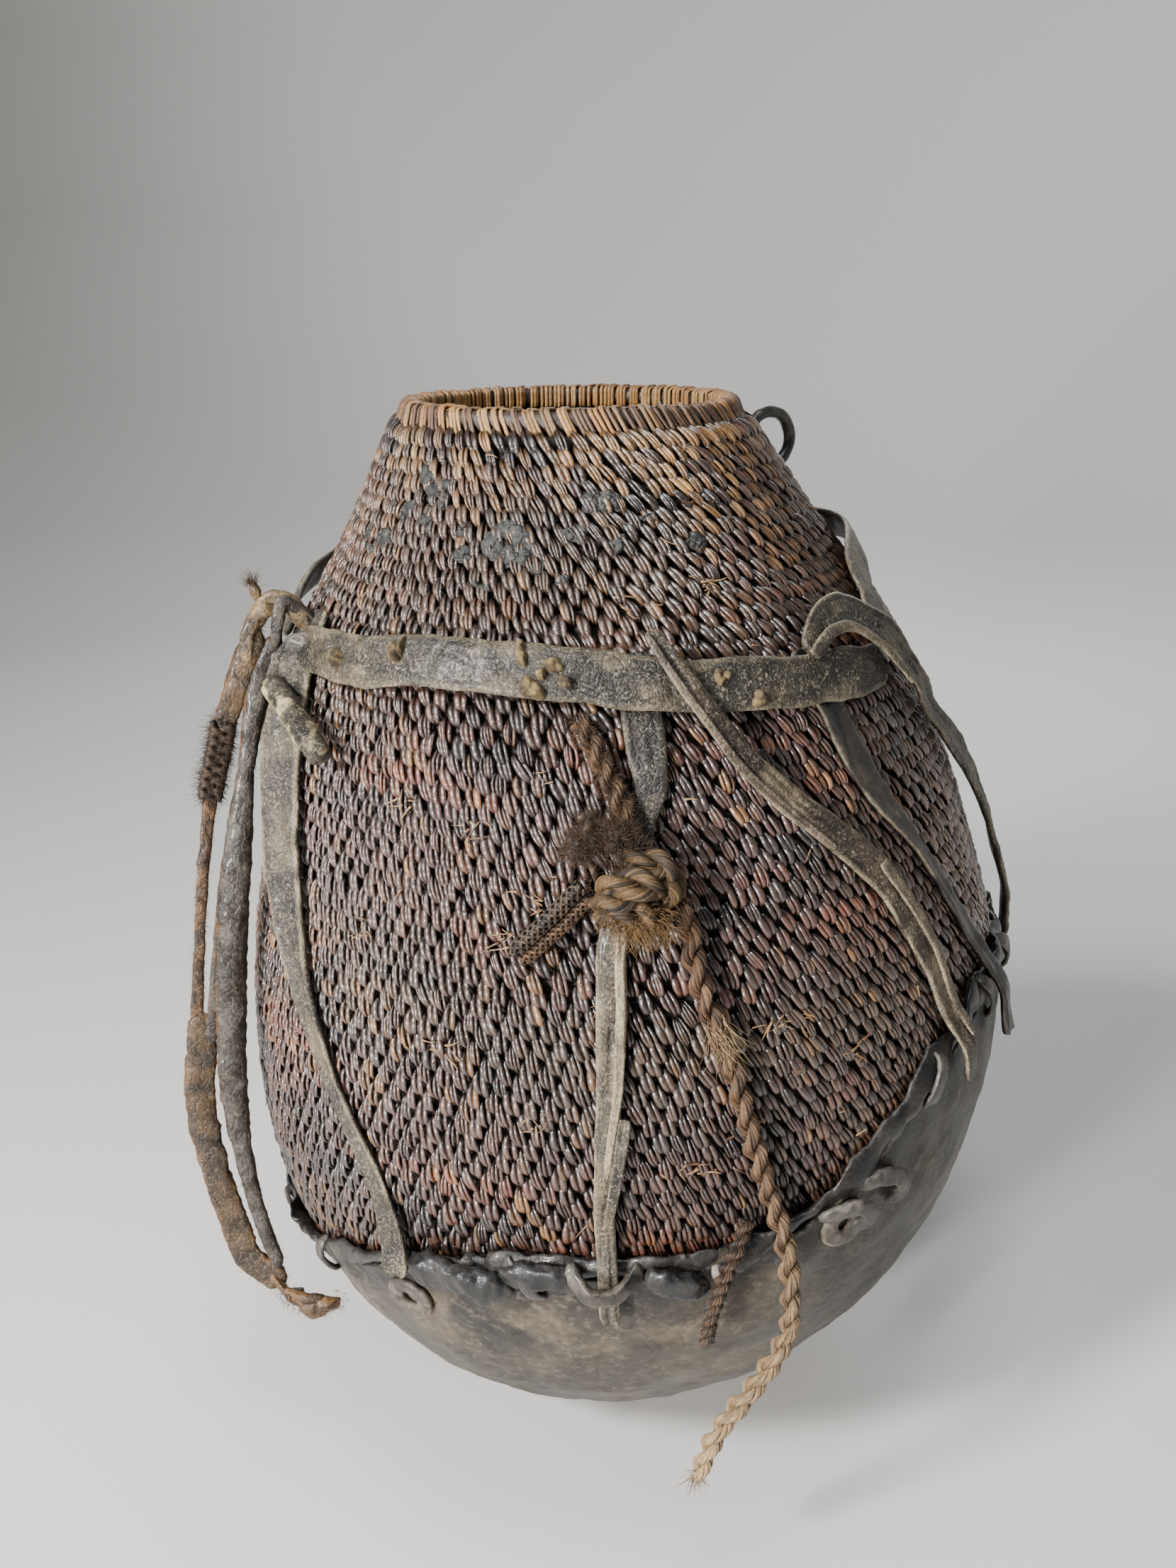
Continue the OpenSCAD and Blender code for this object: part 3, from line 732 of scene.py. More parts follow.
def make_rim():
    """The last coil, with stitches over it that lean like the wall's"""
    draw = np.random.default_rng(23)
    rim_t = 6.4
    half_t = 2.3  # half the coil's thickness
    half_h = 3.1  # half its height
    count = 68  # stitches
    mid_r = float(wall_r(vessel_h)) - rim_t / 2 + 0.6
    mid_z = vessel_h - rim_t / 2
    shift = float(lean(mid_z))
    around = np.radians(np.arange(0, 360, 1.5))[:, None]
    angle = round_steps(12)
    ring_r = mid_r + half_t * np.cos(angle)[None]
    core = np.stack([shift + ring_r * np.cos(around), ring_r * np.sin(around),
                     mid_z + half_h * np.sin(angle)[None] + 0 * around], -1)
    shapes = [shape(core, srgb(58, 44, 34), closed=True)]
    wrap = np.radians(np.linspace(-78, 246, 15))  # one stitch's way over the coil
    dark = mix(PLUM, EARTH, draw.uniform(0, 1, count))
    pale = mix(STRAW, TAN, draw.uniform(0, 1, count))
    faded = np.where(draw.uniform(0, 1, count) < 0.5, draw.uniform(0.3, 0.9, count), 0.1)
    bright = clip01(0.2 - np.cos(wrap))[None]
    rise = half_h * np.sin(wrap)
    for k in (-1, 0, 1):
        place = np.arange(count) * 360 / count + draw.normal(0, 0.35, count) + k * 1.35
        turn = np.radians(place[:, None] - np.degrees(rise * 0.55 * (np.cos(wrap) > 0) / mid_r))
        reach = 1.12 + draw.normal(0, 0.08, (count, 1)) + 0.06 * (k == 0)
        outward = np.clip(np.cos(wrap) * 1.6, -1, 1)
        r = mid_r + reach * half_t * outward[None] - 0.5 * rise * clip01(np.cos(wrap) + 0.3)
        paths = np.stack([shift + r * np.sin(turn), -r * np.cos(turn), mid_z + reach * rise[None]], -1)
        heart = np.stack([shift + mid_r * np.sin(turn), -mid_r * np.cos(turn), 0 * r + mid_z], -1)
        tone = mix(dark[:, None], pale[:, None], np.maximum(faded[:, None], bright))
        tone = tone * draw.uniform(0.7, 1.25, (count, 1, 1))
        shapes.append(shape(tubes(paths, 0.62, 0.5, paths - heart), tone))
    piece("rim_binding", shapes, straw_finish, nodes=["rim_coil"])


rows = stitch_rows()
make_wall(rows)
make_weave(rows)
make_torn_stitches()
make_inner_stitches(rows)
make_rim()

# ---------------------------------------------------------------- hide cup

HIDE = two_tone(82, 75, 64, 44, 40, 36)
HIDE_PALE = srgb(116, 103, 84)


def make_cup():
    """A thin crumpled shell: its outside, then its inside in wider steps"""
    around = np.arange(0, 360, 0.6)
    share = np.concatenate([np.linspace(0.002, 0.1, 14), np.linspace(0.1, 1, 105)[1:]])
    a, k = np.meshgrid(around, share)
    turn = np.radians(around)
    scallop = 2.2 * noise(flat(12 * np.sin(turn), 12 * np.cos(turn)), 1.6, 4)
    z = k * (cup_edge(a) + scallop[None]) + 1.2 * (1 - k)
    base = at(a, z, cup_face)
    crumple = fractal(base, 26, 31, 4)
    pleat = np.sin(np.radians(a) * 46 + 3 * noise(base, 40, 2)) * clip01((k - 0.75) / 0.25)
    relief = 0.85 * crumple + 0.35 * pleat + 0.18 * noise(base, 5, 5) + 0.3 * fractal(base, 9, 6)
    flare = 0.9 * clip01((k - 0.93) / 0.07) ** 2
    outer = at(a, z, cup_face - 0.5 + relief * clip01(k * 6) + flare)
    outer[..., 2] = np.maximum(outer[..., 2], 0.3 * k)
    keep = slice(None, None, -3)
    inner = at(a[keep], z[keep], 0.9 + flare[keep] + 0.25 * crumple[keep])
    inner[..., 2] = np.maximum(inner[..., 2], 1.6)
    tint = patchy(HIDE, base, 46, 12, 0.8, 4)
    tint = mix(tint, HIDE_PALE, np.clip(fractal(base, 20, 15, 4), 0, 0.5))
    # Painted shade: the top of the cup, under the lacing, turns near black.
    tint = mix(tint, srgb(34, 31, 28), 0.95 * clip01((k - 0.86 + 0.05 * noise(base, 14, 8)) / 0.1))
    # The inside is painted at half the tint: painted shade where the shell lies against the wall.
    shell = shape(np.vstack([outer, inner]), np.vstack([tint, 0.5 * tint[keep]]))
    piece("hide_shell", [shell], hide_finish, nodes=["hide_cup"])


make_cup()

# ---------------------------------------------------------------- straps on the wall

LEATHER = two_tone(80, 73, 63, 46, 42, 38)
LEATHER_DARK = two_tone(44, 41, 38, 24, 23, 22)
LEATHER_DUST = srgb(136, 121, 96)
LEATHER_EDGE = srgb(168, 154, 126)
FOLD_SHADE = srgb(34, 30, 28)

# Routes on the wall: (angle, height, width, lift of the inner face)
BAND = [(-66, 266, 11, over_strap), (-43, 268, 14, over_strap), (-27, 271, 14, over_strap),
        (-9, 270.5, 14, over_strap), (2, 269, 14, over_strap), (12, 267, 14, over_strap),
        (27, 265.5, 14, over_strap), (42, 264, 14, over_strap), (53, 263, 12, over_strap)]
BACK_BAND = [(57, 267, 14, over_strap), (64, 276, 15, over_strap - 1), (71, 284, 15, over_strap - 1.5),
             (90, 288, 12, over_strap), (120, 287, 12, over_strap), (150, 285, 12, over_strap),
             (180, 282, 12, over_strap), (210, 281, 12, over_strap), (240, 279, 12, over_strap),
             (268, 273, 11, over_strap), (287, 268, 10, over_strap)]
CENTRE_TOP = [(6, 275, 10.5, skin), (6, 258, 10.5, skin), (6, 246, 8.5, skin), (4.5, 236, 5.5, skin),
              (3, 226, 5, skin)]
CENTRE_LOW = [(2, 224, 5.5, skin), (-1.2, 209, 7, skin), (-2.1, 190, 8, skin), (-2.6, 172, 7, skin),
              (-3.2, 152, 5.5, skin), (-3.2, 136, 5.5, skin), (-2.8, 127, 5.5, skin + 1),
              (-2.4, 119, 5.2, over_lace), (-2, 106, 5.4, over_lace), (-1.8, 101, 5.2, over_lace)]
CENTRE_RIDGE = [(2.9, 222, 1.8, skin + 1.2), (-0.3, 207, 2.4, skin + 1.5), (-0.9, 190, 2.8, skin + 1.7),
                (-1.6, 172, 2.6, skin + 1.6), (-2.6, 156, 2.0, skin + 1.4), (-3.4, 143, 1.5, skin + 1.1)]
CENTRE_FLAP = [(-0.9, 163, 3.6, skin + 1.3), (-1.4, 154, 3.4, skin + 1.7), (-2.1, 142, 3.0, skin + 1.8),
               (-2.8, 130, 2.4, skin + 1.6)]
LEFT_WIDE = [(-61, 276, 9, skin), (-60, 258, 10, skin), (-60, 245, 10.5, skin), (-57, 222, 10, skin),
             (-52, 192, 9, skin), (-47, 172, 7, skin), (-42, 155, 6, skin), (-37, 140, 6, skin),
             (-33.5, 126, 6.5, skin), (-31, 114, 8, skin + 1.5), (-30, 105, 9, over_lace)]
LEFT_WIDE_TILT = (0.2, 0.55, 0.7, 0.7, 0.6, 0.3, 0.1, 0, 0, 0, 0)
DIAGONAL = [(9, 278, 4, over_band), (12, 270, 5, over_band), (16, 259, 6, over_band),
            (20, 249, 7, over_strap), (26, 238, 8, skin), (33, 226, 9, skin), (39, 214, 9, skin),
            (42, 202, 8, skin), (45, 188, 8, skin), (46.5, 172, 7, skin + 1), (48, 161, 7, over_lace),
            (49, 150, 8, over_lace)]
DIAGONAL_FOLD = [(8.2, 277, 1.6, over_band + 1.6), (10.6, 269, 2.0, over_band + 1.7),
                 (14.6, 258, 2.2, over_band + 1.6), (19.0, 247, 2.4, over_strap + 1.5),
                 (25.4, 235.5, 2.2, skin + 1.7), (31.5, 224, 1.8, skin + 1.6)]
DIAGONAL_ROLL = [(39.5, 217, 3.6, skin + 1.6), (43.0, 205, 3.8, skin + 1.8), (46.2, 190, 3.4, skin + 1.8),
                 (47.8, 174, 3.0, skin + 2.4), (49.0, 163, 2.6, over_lace + 1.4)]
SECOND = [(37, 272, 10, skin), (38, 257, 10, skin), (41, 241, 9, skin), (44, 230, 7, skin),
          (49, 216, 5, skin), (53, 201, 5, skin), (57, 187, 6, skin), (60, 175, 6, skin + 1.5),
          (62, 163, 7, over_lace), (62, 150, 9, over_lace)]
RIGHT_SHOULDER = [(35, 270, 8, over_band), (42, 276, 9, over_band), (49, 276, 10, over_band),
                  (56, 268, 10, over_band), (61, 256, 9, over_strap + 2), (66, 246, 9, skin + 2),
                  (71, 234, 9, skin + 3), (77, 219, 8, skin + 4), (81, 200, 8, skin + 5),
                  (84, 182, 8, skin + 5), (86, 170, 8, over_lace + 1), (87, 156, 9, over_lace)]
RIGHT_CUFF = [(34.5, 269, 3, over_band + 1.8), (40, 272.5, 3.4, over_band + 2.2),
              (46, 272.5, 3.2, over_band + 2.2), (51.5, 266, 3, over_band + 2.0),
              (56, 256.5, 2.6, over_band + 1.6)]
BACK_LEFT = [(236, 285, 8, skin), (235, 262, 8, skin), (233, 235, 8, skin), (232, 205, 7, skin),
             (231, 170, 6, skin), (230, 130, 6, skin), (230, 105, 6, skin + 1.5), (230, 88, 8, over_lace)]
BACK_CENTRE = [(182, 288, 9, skin), (181, 262, 9, skin), (180, 235, 8, skin), (179, 205, 7, skin),
               (178, 170, 6, skin), (178, 140, 6, skin), (178, 125, 7, skin + 1.5), (178, 110, 8, over_lace)]
BACK_RIGHT = [(128, 292, 8, skin), (129, 270, 8, skin), (130, 245, 8, skin), (131, 215, 7, skin),
              (132, 185, 6, skin), (133, 160, 6, skin), (134, 144, 7, skin + 1.5), (134, 130, 8, over_lace)]

# Corners of a flat strap's section: place across from -1 to 1, share of the thickness, top or not
OVER = np.linspace(1, -1, 17)
UNDER = np.linspace(-1, 1, 11)
SECTION_X = np.concatenate([OVER, UNDER])
SECTION_Y = np.concatenate([1 - 0.4 * np.abs(OVER) ** 6, 0.35 * np.abs(UNDER) ** 6])
SECTION_TOP = np.concatenate([np.ones(len(OVER)), np.zeros(len(UNDER))])


def strap(route, seed, thick=strap_t, tones=LEATHER, curl=0.4, rough=0.5, wear=0.7, dust=0.5, sway=0.35,
          crease=0.35, tilt=(0, 0)):
    """A worn flat strap along a route on the wall. tilt is the slope that lifts one edge, along it"""
    dense = dense_spline(route)
    run = run_along(at(dense[:, 0], dense[:, 1], dense[:, 3]))
    s = np.linspace(0, run[-1], int(run[-1] / 0.6) + 1)
    a, z, width, lift = (np.interp(s, run, values) for values in dense.T)
    spine = at(a, z, lift)
    up = out(a, z)
    side = -across(spine, up)[0]
    x, top = SECTION_X[None], SECTION_TOP[None]
    line = flat(s, 0)
    tip = np.minimum(s, s[-1] - s)
    half = width / 2 * (0.72 + 0.28 * clip01(tip / 2.5) ** 0.5)
    left = half * (1 + 0.098 * fractal(line, 9, seed))
    right = half * (1 + 0.098 * fractal(line, 9, seed + 3))
    over = np.where(x > 0, x * left[:, None], x * right[:, None])
    grid = flat(s[:, None], over)
    lifted = thick * SECTION_Y[None] * (1 + 0.12 * fractal(line, 12, seed + 5))[:, None]
    bend = curl * (0.6 + 0.6 * fractal(line, 22, seed + 1))
    lifted = lifted + bend[:, None] * x ** 2 * (0.4 + 0.6 * top)
    lifted = lifted + sway * 0.25 * (fractal(line, 26, seed + 2) * half)[:, None] * x
    lifted = lifted + np.maximum(0, sway * 1.4 * fractal(line, 30, seed + 4))[:, None]
    folds = noise(grid * (0.10, 0.85, 1), 1.0, seed + 8)
    lifted = lifted - top * crease * clip01(folds + 0.1)
    lifted = lifted + top * rough * 0.22 * fractal(grid, 2.2, seed + 6)
    lifted = np.maximum(lifted, -0.25) + (spread_along(tilt, s) * half)[:, None] * (1 + x)
    tint = patchy(tones, grid, 11, seed + 7, 0.8, 4)
    tint = mix(tint, LEATHER_DUST, dust * clip01(1.3 * fractal(grid * (0.5, 1, 1), 5, seed + 9, 4) + 0.1))
    tint = mix(tint, LEATHER_EDGE, 1.2 * dust * clip01(noise(grid * (1, 0.25, 1), 0.8, seed + 11) - 0.45))
    tint = mix(tint, FOLD_SHADE, np.clip(folds * 1.2, 0, 0.6) * crease * top)
    rim = clip01((np.abs(x) - 0.80) / 0.2) * clip01(0.65 + 0.9 * fractal(grid, 6, seed + 10))
    tint = mix(tint, LEATHER_EDGE, rim * wear * top)
    # The underside is painted at 0.45 of the tint: painted shade where the strap lies against the wall.
    return shape(rings_round(spine, side, up, over, lifted), tint * (0.45 + 0.55 * top)[..., None])


def strap_piece(name, node, straps, finish=leather_finish):
    piece(name, straps, finish, nodes=[node])


def make_straps():
    band = strap(BAND, 40, tones=two_tone(62, 58, 50, 26, 24, 22), curl=0.1, rough=1.0, wear=0.5, dust=0.35,
                 crease=0.2)
    strap_piece("band_leather", "shoulder_band", [band])
    back_band = strap(BACK_BAND, 50, tones=two_tone(80, 75, 66, 50, 46, 41), dust=0.6)
    strap_piece("back_band_leather", "back_shoulder_strap", [back_band])
    pale = two_tone(86, 78, 65, 34, 31, 27)
    strap_piece("centre_strap_leather", "centre_strap", [
        strap(CENTRE_TOP, 60, tones=LEATHER_DARK, curl=0.5, rough=0.15, wear=0.35, dust=0.1, crease=0.7),
        strap(CENTRE_LOW, 61, tones=pale, curl=0.6, rough=0.4, wear=1, dust=0.6, crease=0.8),
        strap(CENTRE_RIDGE, 62, 1.3, tones=two_tone(168, 154, 126, 150, 138, 112), curl=0.1, wear=1,
              dust=0.4),
        strap(CENTRE_FLAP, 63, 1.2, tones=pale, curl=0.7, wear=1, dust=0.5)])
    left_wide = strap(LEFT_WIDE, 70, tones=two_tone(72, 66, 56, 36, 33, 29), curl=1.9, rough=0.9, wear=1,
                      dust=0.45, sway=0.3, crease=0.3, tilt=LEFT_WIDE_TILT)
    strap_piece("left_wide_leather", "left_wide_strap", [left_wide])
    strap_piece("diagonal_leather", "diagonal_strap", [
        strap(DIAGONAL, 80, tones=two_tone(84, 70, 56, 38, 32, 28), curl=0.8, wear=0.9, dust=0.8, sway=0.7,
              crease=0.7),
        # The fold's strip is tinted paler than the strap: a painted highlight along the ridge of the fold.
        strap(DIAGONAL_FOLD, 81, 1.2, tones=two_tone(118, 101, 86, 70, 60, 52), curl=0.1, wear=0.8),
        strap(DIAGONAL_ROLL, 82, 1.5, tones=two_tone(116, 102, 82, 70, 62, 52), curl=-0.2, wear=0.9,
              dust=0.6)])
    second = strap(SECOND, 85, tones=LEATHER_DARK, curl=0.9, rough=0.3, wear=0.5, dust=0.2, sway=0.8,
                   crease=0.6)
    strap_piece("second_right_leather", "second_right_strap", [second], lace_finish)
    strap_piece("right_shoulder_leather", "right_shoulder_strap", [
        strap(RIGHT_SHOULDER, 90, tones=two_tone(66, 58, 48, 32, 29, 26), curl=1.0, wear=0.9, dust=0.7,
              sway=0.9, crease=0.7),
        strap(RIGHT_CUFF, 91, 1.6, tones=two_tone(104, 92, 74, 54, 47, 39), curl=-0.3, wear=1, dust=0.8)])
    backs = (("left", BACK_LEFT, 95), ("centre", BACK_CENTRE, 100), ("right", BACK_RIGHT, 105))
    for side, route, seed in backs:
        back = strap(route, seed, tones=two_tone(86, 78, 66, 48, 43, 38), curl=0.8, wear=0.9, dust=0.6,
                     sway=0.7, crease=0.6)
        strap_piece(f"back_{side}_leather", f"back_{side}_strap", [back])


make_straps()

# ---------------------------------------------------------------- lumps, lacing and loops


def lump(a, z, wide, high, lift, height, seed, tones, ragged=0.5):
    """A flattish crust on the wall with a ragged outline"""
    angle = round_steps(28)
    inward = np.linspace(1, 0.02, 9)
    share = np.concatenate([[0.9, 1.0], inward ** 0.8])[:, None]
    rise = np.concatenate([[-0.35, 0.0], np.sqrt(np.maximum(0, 1 - inward ** 2.2))])
    edge = 1 + ragged * fractal(flat(np.cos(angle), np.sin(angle), seed), 0.9, seed)
    u = wide / 2 * share * edge[None] * np.cos(angle)[None]
    v = high / 2 * share * edge[None] * np.sin(angle)[None]
    grid = flat(u, v)
    w = lift + height * rise[:, None] * (1 + 0.45 * fractal(grid, 2.4, seed + 1))
    return shape(at(*beside(a, z, u, v), w), patchy(tones, grid, 2.0, seed + 2, 0.8))


def blob(centre, sizes, seed, tones, up=(0, 0, 1)):
    """A closed lumpy ellipsoid; sizes are half lengths across, deep and along up"""
    turn = round_steps(24)[None, :, None]
    rise = np.linspace(-0.497, 0.497, 16)[:, None, None] * np.pi
    axis = unit(np.asarray(up, float))
    side = unit(np.cross(axis, (0.3, 1, 0.2)))
    deep = np.cross(axis, side)
    ball = (np.cos(rise) * (np.cos(turn) * side * sizes[0] + np.sin(turn) * deep * sizes[1])
            + np.sin(rise) * axis * sizes[2])
    swell = 1 + 0.25 * fractal(ball, 2.5, seed)
    return shape(np.asarray(centre, float) + ball * swell[..., None], patchy(tones, ball, 2.5, seed + 1, 0.8))


def band_of(path, width, thick, up, seed, tones, rough=0.5, wear=0.6, corners=20, crumple=0.3,
            squareness=0.6, edge=None):
    """A soft strip or roll through points in space. width and thick may vary along the path."""
    route = curve(path, 0.6)
    s = run_along(route)
    side, rise = across(route, up)
    half_w = spread_along(width, s)[:, None] / 2
    half_t = spread_along(thick, s)[:, None] / 2
    end = np.clip(np.minimum(s, s[-1] - s) / 3.0, 0.02, 1)[:, None] ** 0.45
    angle = round_steps(corners, 0.5)
    x = np.sign(np.cos(angle)) * np.abs(np.cos(angle)) ** squareness
    y = np.sign(np.sin(angle)) * np.abs(np.sin(angle)) ** squareness
    grid = np.stack([s[:, None] + 0 * x, half_w * x, half_t * y], -1)
    swell = end * (1 + crumple * 0.6 * fractal(grid, 4.5, seed) + rough * 0.12 * fractal(grid, 1.6, seed + 1))
    px = half_w * x * swell
    py = half_t * y * swell + crumple * half_t * 0.9 * noise(grid * (1, 1, 0), 5, seed + 2)
    tint = patchy(tones, grid, 5, seed + 3, 0.9, 4)
    rim = clip01((np.abs(x)[None] - 0.8) / 0.2) * clip01(0.5 + fractal(grid, 5, seed + 4))
    tint = mix(tint, tones[0] * 1.5 if edge is None else edge, rim * wear)
    return shape(rings_round(route, side, rise, px, py), tint)


def make_left_loop():
    """The strap that swings out over the band's left end and hangs beside the wall"""
    loop = [(-78, -47, 270), (-84, -47.5, 269), (-89, -45.5, 263.5), (-92.8, -43, 255), (-95.5, -40, 247),
            (-97.5, -38, 238), (-99, -36, 230), (-100.5, -35, 219)]
    strip = band_of(loop, [5, 8.4, 8.6, 7.6, 6.4, 4.6, 3.2, 1.6], [2.4, 2.2, 2, 1.8, 1.6, 1.4, 1.2],
                    (0.35, -1, 0.3), 75, two_tone(96, 90, 80, 42, 39, 36), crumple=0.2, corners=28, wear=1)
    strap_piece("left_loop_leather", "left_loop_strap", [strip])


def make_lacing():
    """A dark strip laced along the cup's edge, with loops that hold it to the cup"""
    draw = np.random.default_rng(31)
    around = np.arange(0, 360, 0.35)
    line = flat(np.cos(np.radians(around)), np.sin(np.radians(around))) * 122
    z = cup_edge(around) + 2.3 + 1.5 * fractal(line, 13, 5)
    up = out(around, z)
    middle = at(around, z, 2.6 + 0.5 * fractal(line, 9, 8))
    tangent = unit(np.roll(middle, -1, 0) - np.roll(middle, 1, 0))
    side = np.cross(tangent, up)
    turn = np.radians(38 * fractal(line, 16, 6))[:, None]
    side, up = np.cos(turn) * side + np.sin(turn) * up, np.cos(turn) * up - np.sin(turn) * side
    angle = round_steps(20, 0.5)
    grid = line[:, None] + 3 * np.stack([0 * angle, np.cos(angle), np.sin(angle)], -1)[None]
    swell = 1 + 0.34 * fractal(grid, 5.5, 7, 4)
    half_w = 3.6 * (1 + 0.35 * fractal(line, 11, 12))[:, None]
    rings = rings_round(middle, side, up, half_w * np.cos(angle) * swell, 1.5 * np.sin(angle) * swell)
    tint = patchy(two_tone(48, 45, 42, 20, 19, 18), grid, 6, 9)
    tint = mix(tint, srgb(110, 102, 86), np.clip(1.4 * fractal(grid, 4, 10) - 0.75, 0, 0.6))
    shapes = [shape(rings, tint, closed=True)]
    for a in np.concatenate([np.arange(-172, -36, 17), [-22, -12], np.arange(42, 180, 16)]):
        a = a + draw.uniform(-3, 3)
        e = float(cup_edge(a))
        tip = draw.uniform(-2.5, 2.5)
        path = on_wall([(a + tip, e + 6.2, 1.0), (a + tip * .8, e + 5, 4.2), (a, e + 1, 5.6),
                        (a - tip * .6, e - 4, 5.0), (a - tip, e - 7.5, 3.4), (a - tip, e - 8.8, 1.4)])
        shapes.append(band_of(path, draw.uniform(3.2, 4.6), 1.6, out(a, e), int(draw.integers(1000)),
                              two_tone(96, 90, 82, 46, 43, 42)))
    piece("lacing_leather", shapes, lace_finish, nodes=["cup_lacing"])


def make_front_lacing():
    """The crumpled rolls and the loop round the centre strap at the front of the cup"""
    shiny = two_tone(46, 45, 44, 16, 16, 16)
    # Each roll: points (angle, height, lift), widths, thicknesses, facing
    rolls = [([(-28, 106, 4), (-25.5, 110, 6.5), (-21, 111, 7.2), (-16.5, 110, 6.6), (-14, 107, 4)],
              [7, 10, 9, 10, 6], [4, 5.6, 5.0, 5.2, 3.6], (-20, 104)),
             ([(-16, 112, 4), (-12.5, 115, 5.8), (-9, 115.5, 6), (-5.5, 113, 4.4)],
              [6, 8, 7.5, 6], [3, 4, 3.8, 3], (-10, 109)),
             ([(1.5, 116, 4.4), (4.5, 115.5, 6.4), (7.5, 113, 6.4), (10.3, 109.5, 4.4)],
              [6, 9, 8, 5], [3, 4.4, 4, 3], (6, 108))]
    shapes = [band_of(on_wall(points), width, thick, out(*facing), 3 + k, shiny, crumple=0.35, rough=1.2)
              for k, (points, width, thick, facing) in enumerate(rolls)]
    pale_bit = on_wall([(10.6, 118, 2.6), (11, 116, 4.4), (11.6, 113, 4.6), (12.2, 110.5, 3.2)])
    shapes.append(band_of(pale_bit, [3, 3.8, 3.6, 2.6], [2.4, 3, 2.8, 2], out(11, 109), 6,
                          two_tone(140, 134, 122, 84, 80, 74)))
    loop = on_wall([(-7.0, 120, 3.4), (-6.2, 117, 7), (-4.2, 114.6, 9.6), (-1.4, 114.6, 9.6),
                    (0.6, 117.5, 7), (1.0, 120.5, 3.4)])
    shapes.append(band_of(loop, [4, 4.6, 4.8, 4.6, 4], [2.4, 2.6, 3, 2.6, 2.4], out(-1, 110), 7,
                          two_tone(78, 71, 60, 28, 26, 24)))
    piece("front_lacing", shapes, lace_finish, nodes=["lace_loop"])


# Tabs with a hole on the cup: (angle, height, diameter, hole diameter)
TABS = [(-30, 91, 15, 5), (28, 121, 15, 4), (110, 136, 15, 4), (205, 94, 15, 4), (262, 64, 15, 4)]
# The tab's section from the hole's edge outward: share of the way to the outline, height
TAB_SECTION = np.array([(0, -0.4), (0, 0.7), (0.08, 1.15), (0.3, 1.35), (0.55, 1.4), (0.8, 1.35), (0.95, 1.1),
                        (1, 0.5), (1, -0.3), (0.7, -0.6), (0.3, -0.6)])
# Loops beside the right tab: (angle, height, lift)
TAB_LOOPS = [[(24, 125, 3.4), (26, 128, 6.4), (29.5, 127.5, 7.4), (31, 122, 6.6), (29, 118, 4.2)],
             [(29.5, 131, 3.2), (33, 133, 6.2), (36, 130.5, 6.6), (37, 125, 5.4), (35, 121.5, 3.6)]]


def make_eyelets():
    """Round tabs with a hole, and the loops beside the right one"""
    around = round_steps(96)
    circle = flat(np.cos(around), np.sin(around))
    share, height = TAB_SECTION.T[:, :, None]
    shapes = []
    for k, (a, z, outer_d, hole_d) in enumerate(TABS):
        outline = outer_d / 2 * (1 + 0.09 * fractal(circle, 0.9, 40 + k))
        hole = hole_d / 2 * (1 + 0.10 * fractal(circle, 0.8, 50 + k))
        radius = hole[None] + share * (outline - hole)[None]
        u = radius * np.cos(around)
        v = radius * np.sin(around)
        grid = flat(u, v)
        w = cup_face + 0.7 + height * (1 + 0.25 * fractal(grid, 4, 60 + k))
        tint = patchy(two_tone(104, 96, 85, 60, 55, 48), grid, 4, 70 + k)
        tint = mix(tint, srgb(176, 156, 124), 0.8 * clip01((share - 0.85) / 0.1) * clip01(-v / 5))
        shapes.append(shape(at(*beside(a, z, u, v), w), tint, closed=True))
    for k, loop in enumerate(TAB_LOOPS):
        a, z, _ = loop[2]
        shapes.append(band_of(on_wall(loop), 5.2, 2.2, out(a, z), 80 + k, two_tone(88, 84, 78, 42, 40, 38)))
    piece("eyelet_leather", shapes, hide_finish, nodes=["eyelet_tabs"])


MUD = two_tone(138, 117, 76, 66, 53, 35)
PITCH = two_tone(62, 62, 59, 28, 28, 27)
# Mud on the band: (angle, height, width, height of the lump, thickness)
DABS = [(-47, 267, 5, 5, 2.0), (-34, 271.5, 4.6, 5, 1.5), (-32.6, 272.5, 1.8, 6, 1.2),
        (-11.5, 273.5, 2.6, 6.5, 1.2), (-10.2, 266.6, 6.5, 5, 2.2), (-6.6, 271.5, 5, 4, 1.4),
        (-5, 268, 3.6, 3.6, 1.5), (-8.6, 269.5, 2.4, 3, 1.2), (19, 268, 3.2, 3.6, 1.6),
        (24, 262, 3.6, 3.6, 1.8)]
# Pitch on the neck: (angle, height, width, height of the patch)
PATCHES = [(-39, 313, 9, 9), (-38, 304, 7, 6), (-16, 303, 10, 8), (-19, 299, 9, 9), (-12, 296, 8, 6),
           (6, 312, 10, 8), (0, 303, 7, 5), (27, 299, 8, 7), (-26, 297, 6, 5), (-46, 306, 6, 7),
           (-52, 300, 8, 6), (-60, 296, 8, 6), (-34, 309, 5, 6), (-28, 303, 4, 4), (7, 300, 5, 5),
           (-5, 292.5, 5, 3), (16, 306, 4, 3), (-22, 290, 4, 3), (150, 300, 9, 7), (215, 306, 8, 6)]


def make_dabs():
    shapes = [lump(a, z, wide, high, over_band - 0.9, thick + 1.1, 200 + k, MUD)
              for k, (a, z, wide, high, thick) in enumerate(DABS)]
    piece("mud_dabs", shapes, mud_finish, nodes=["band_dabs"])


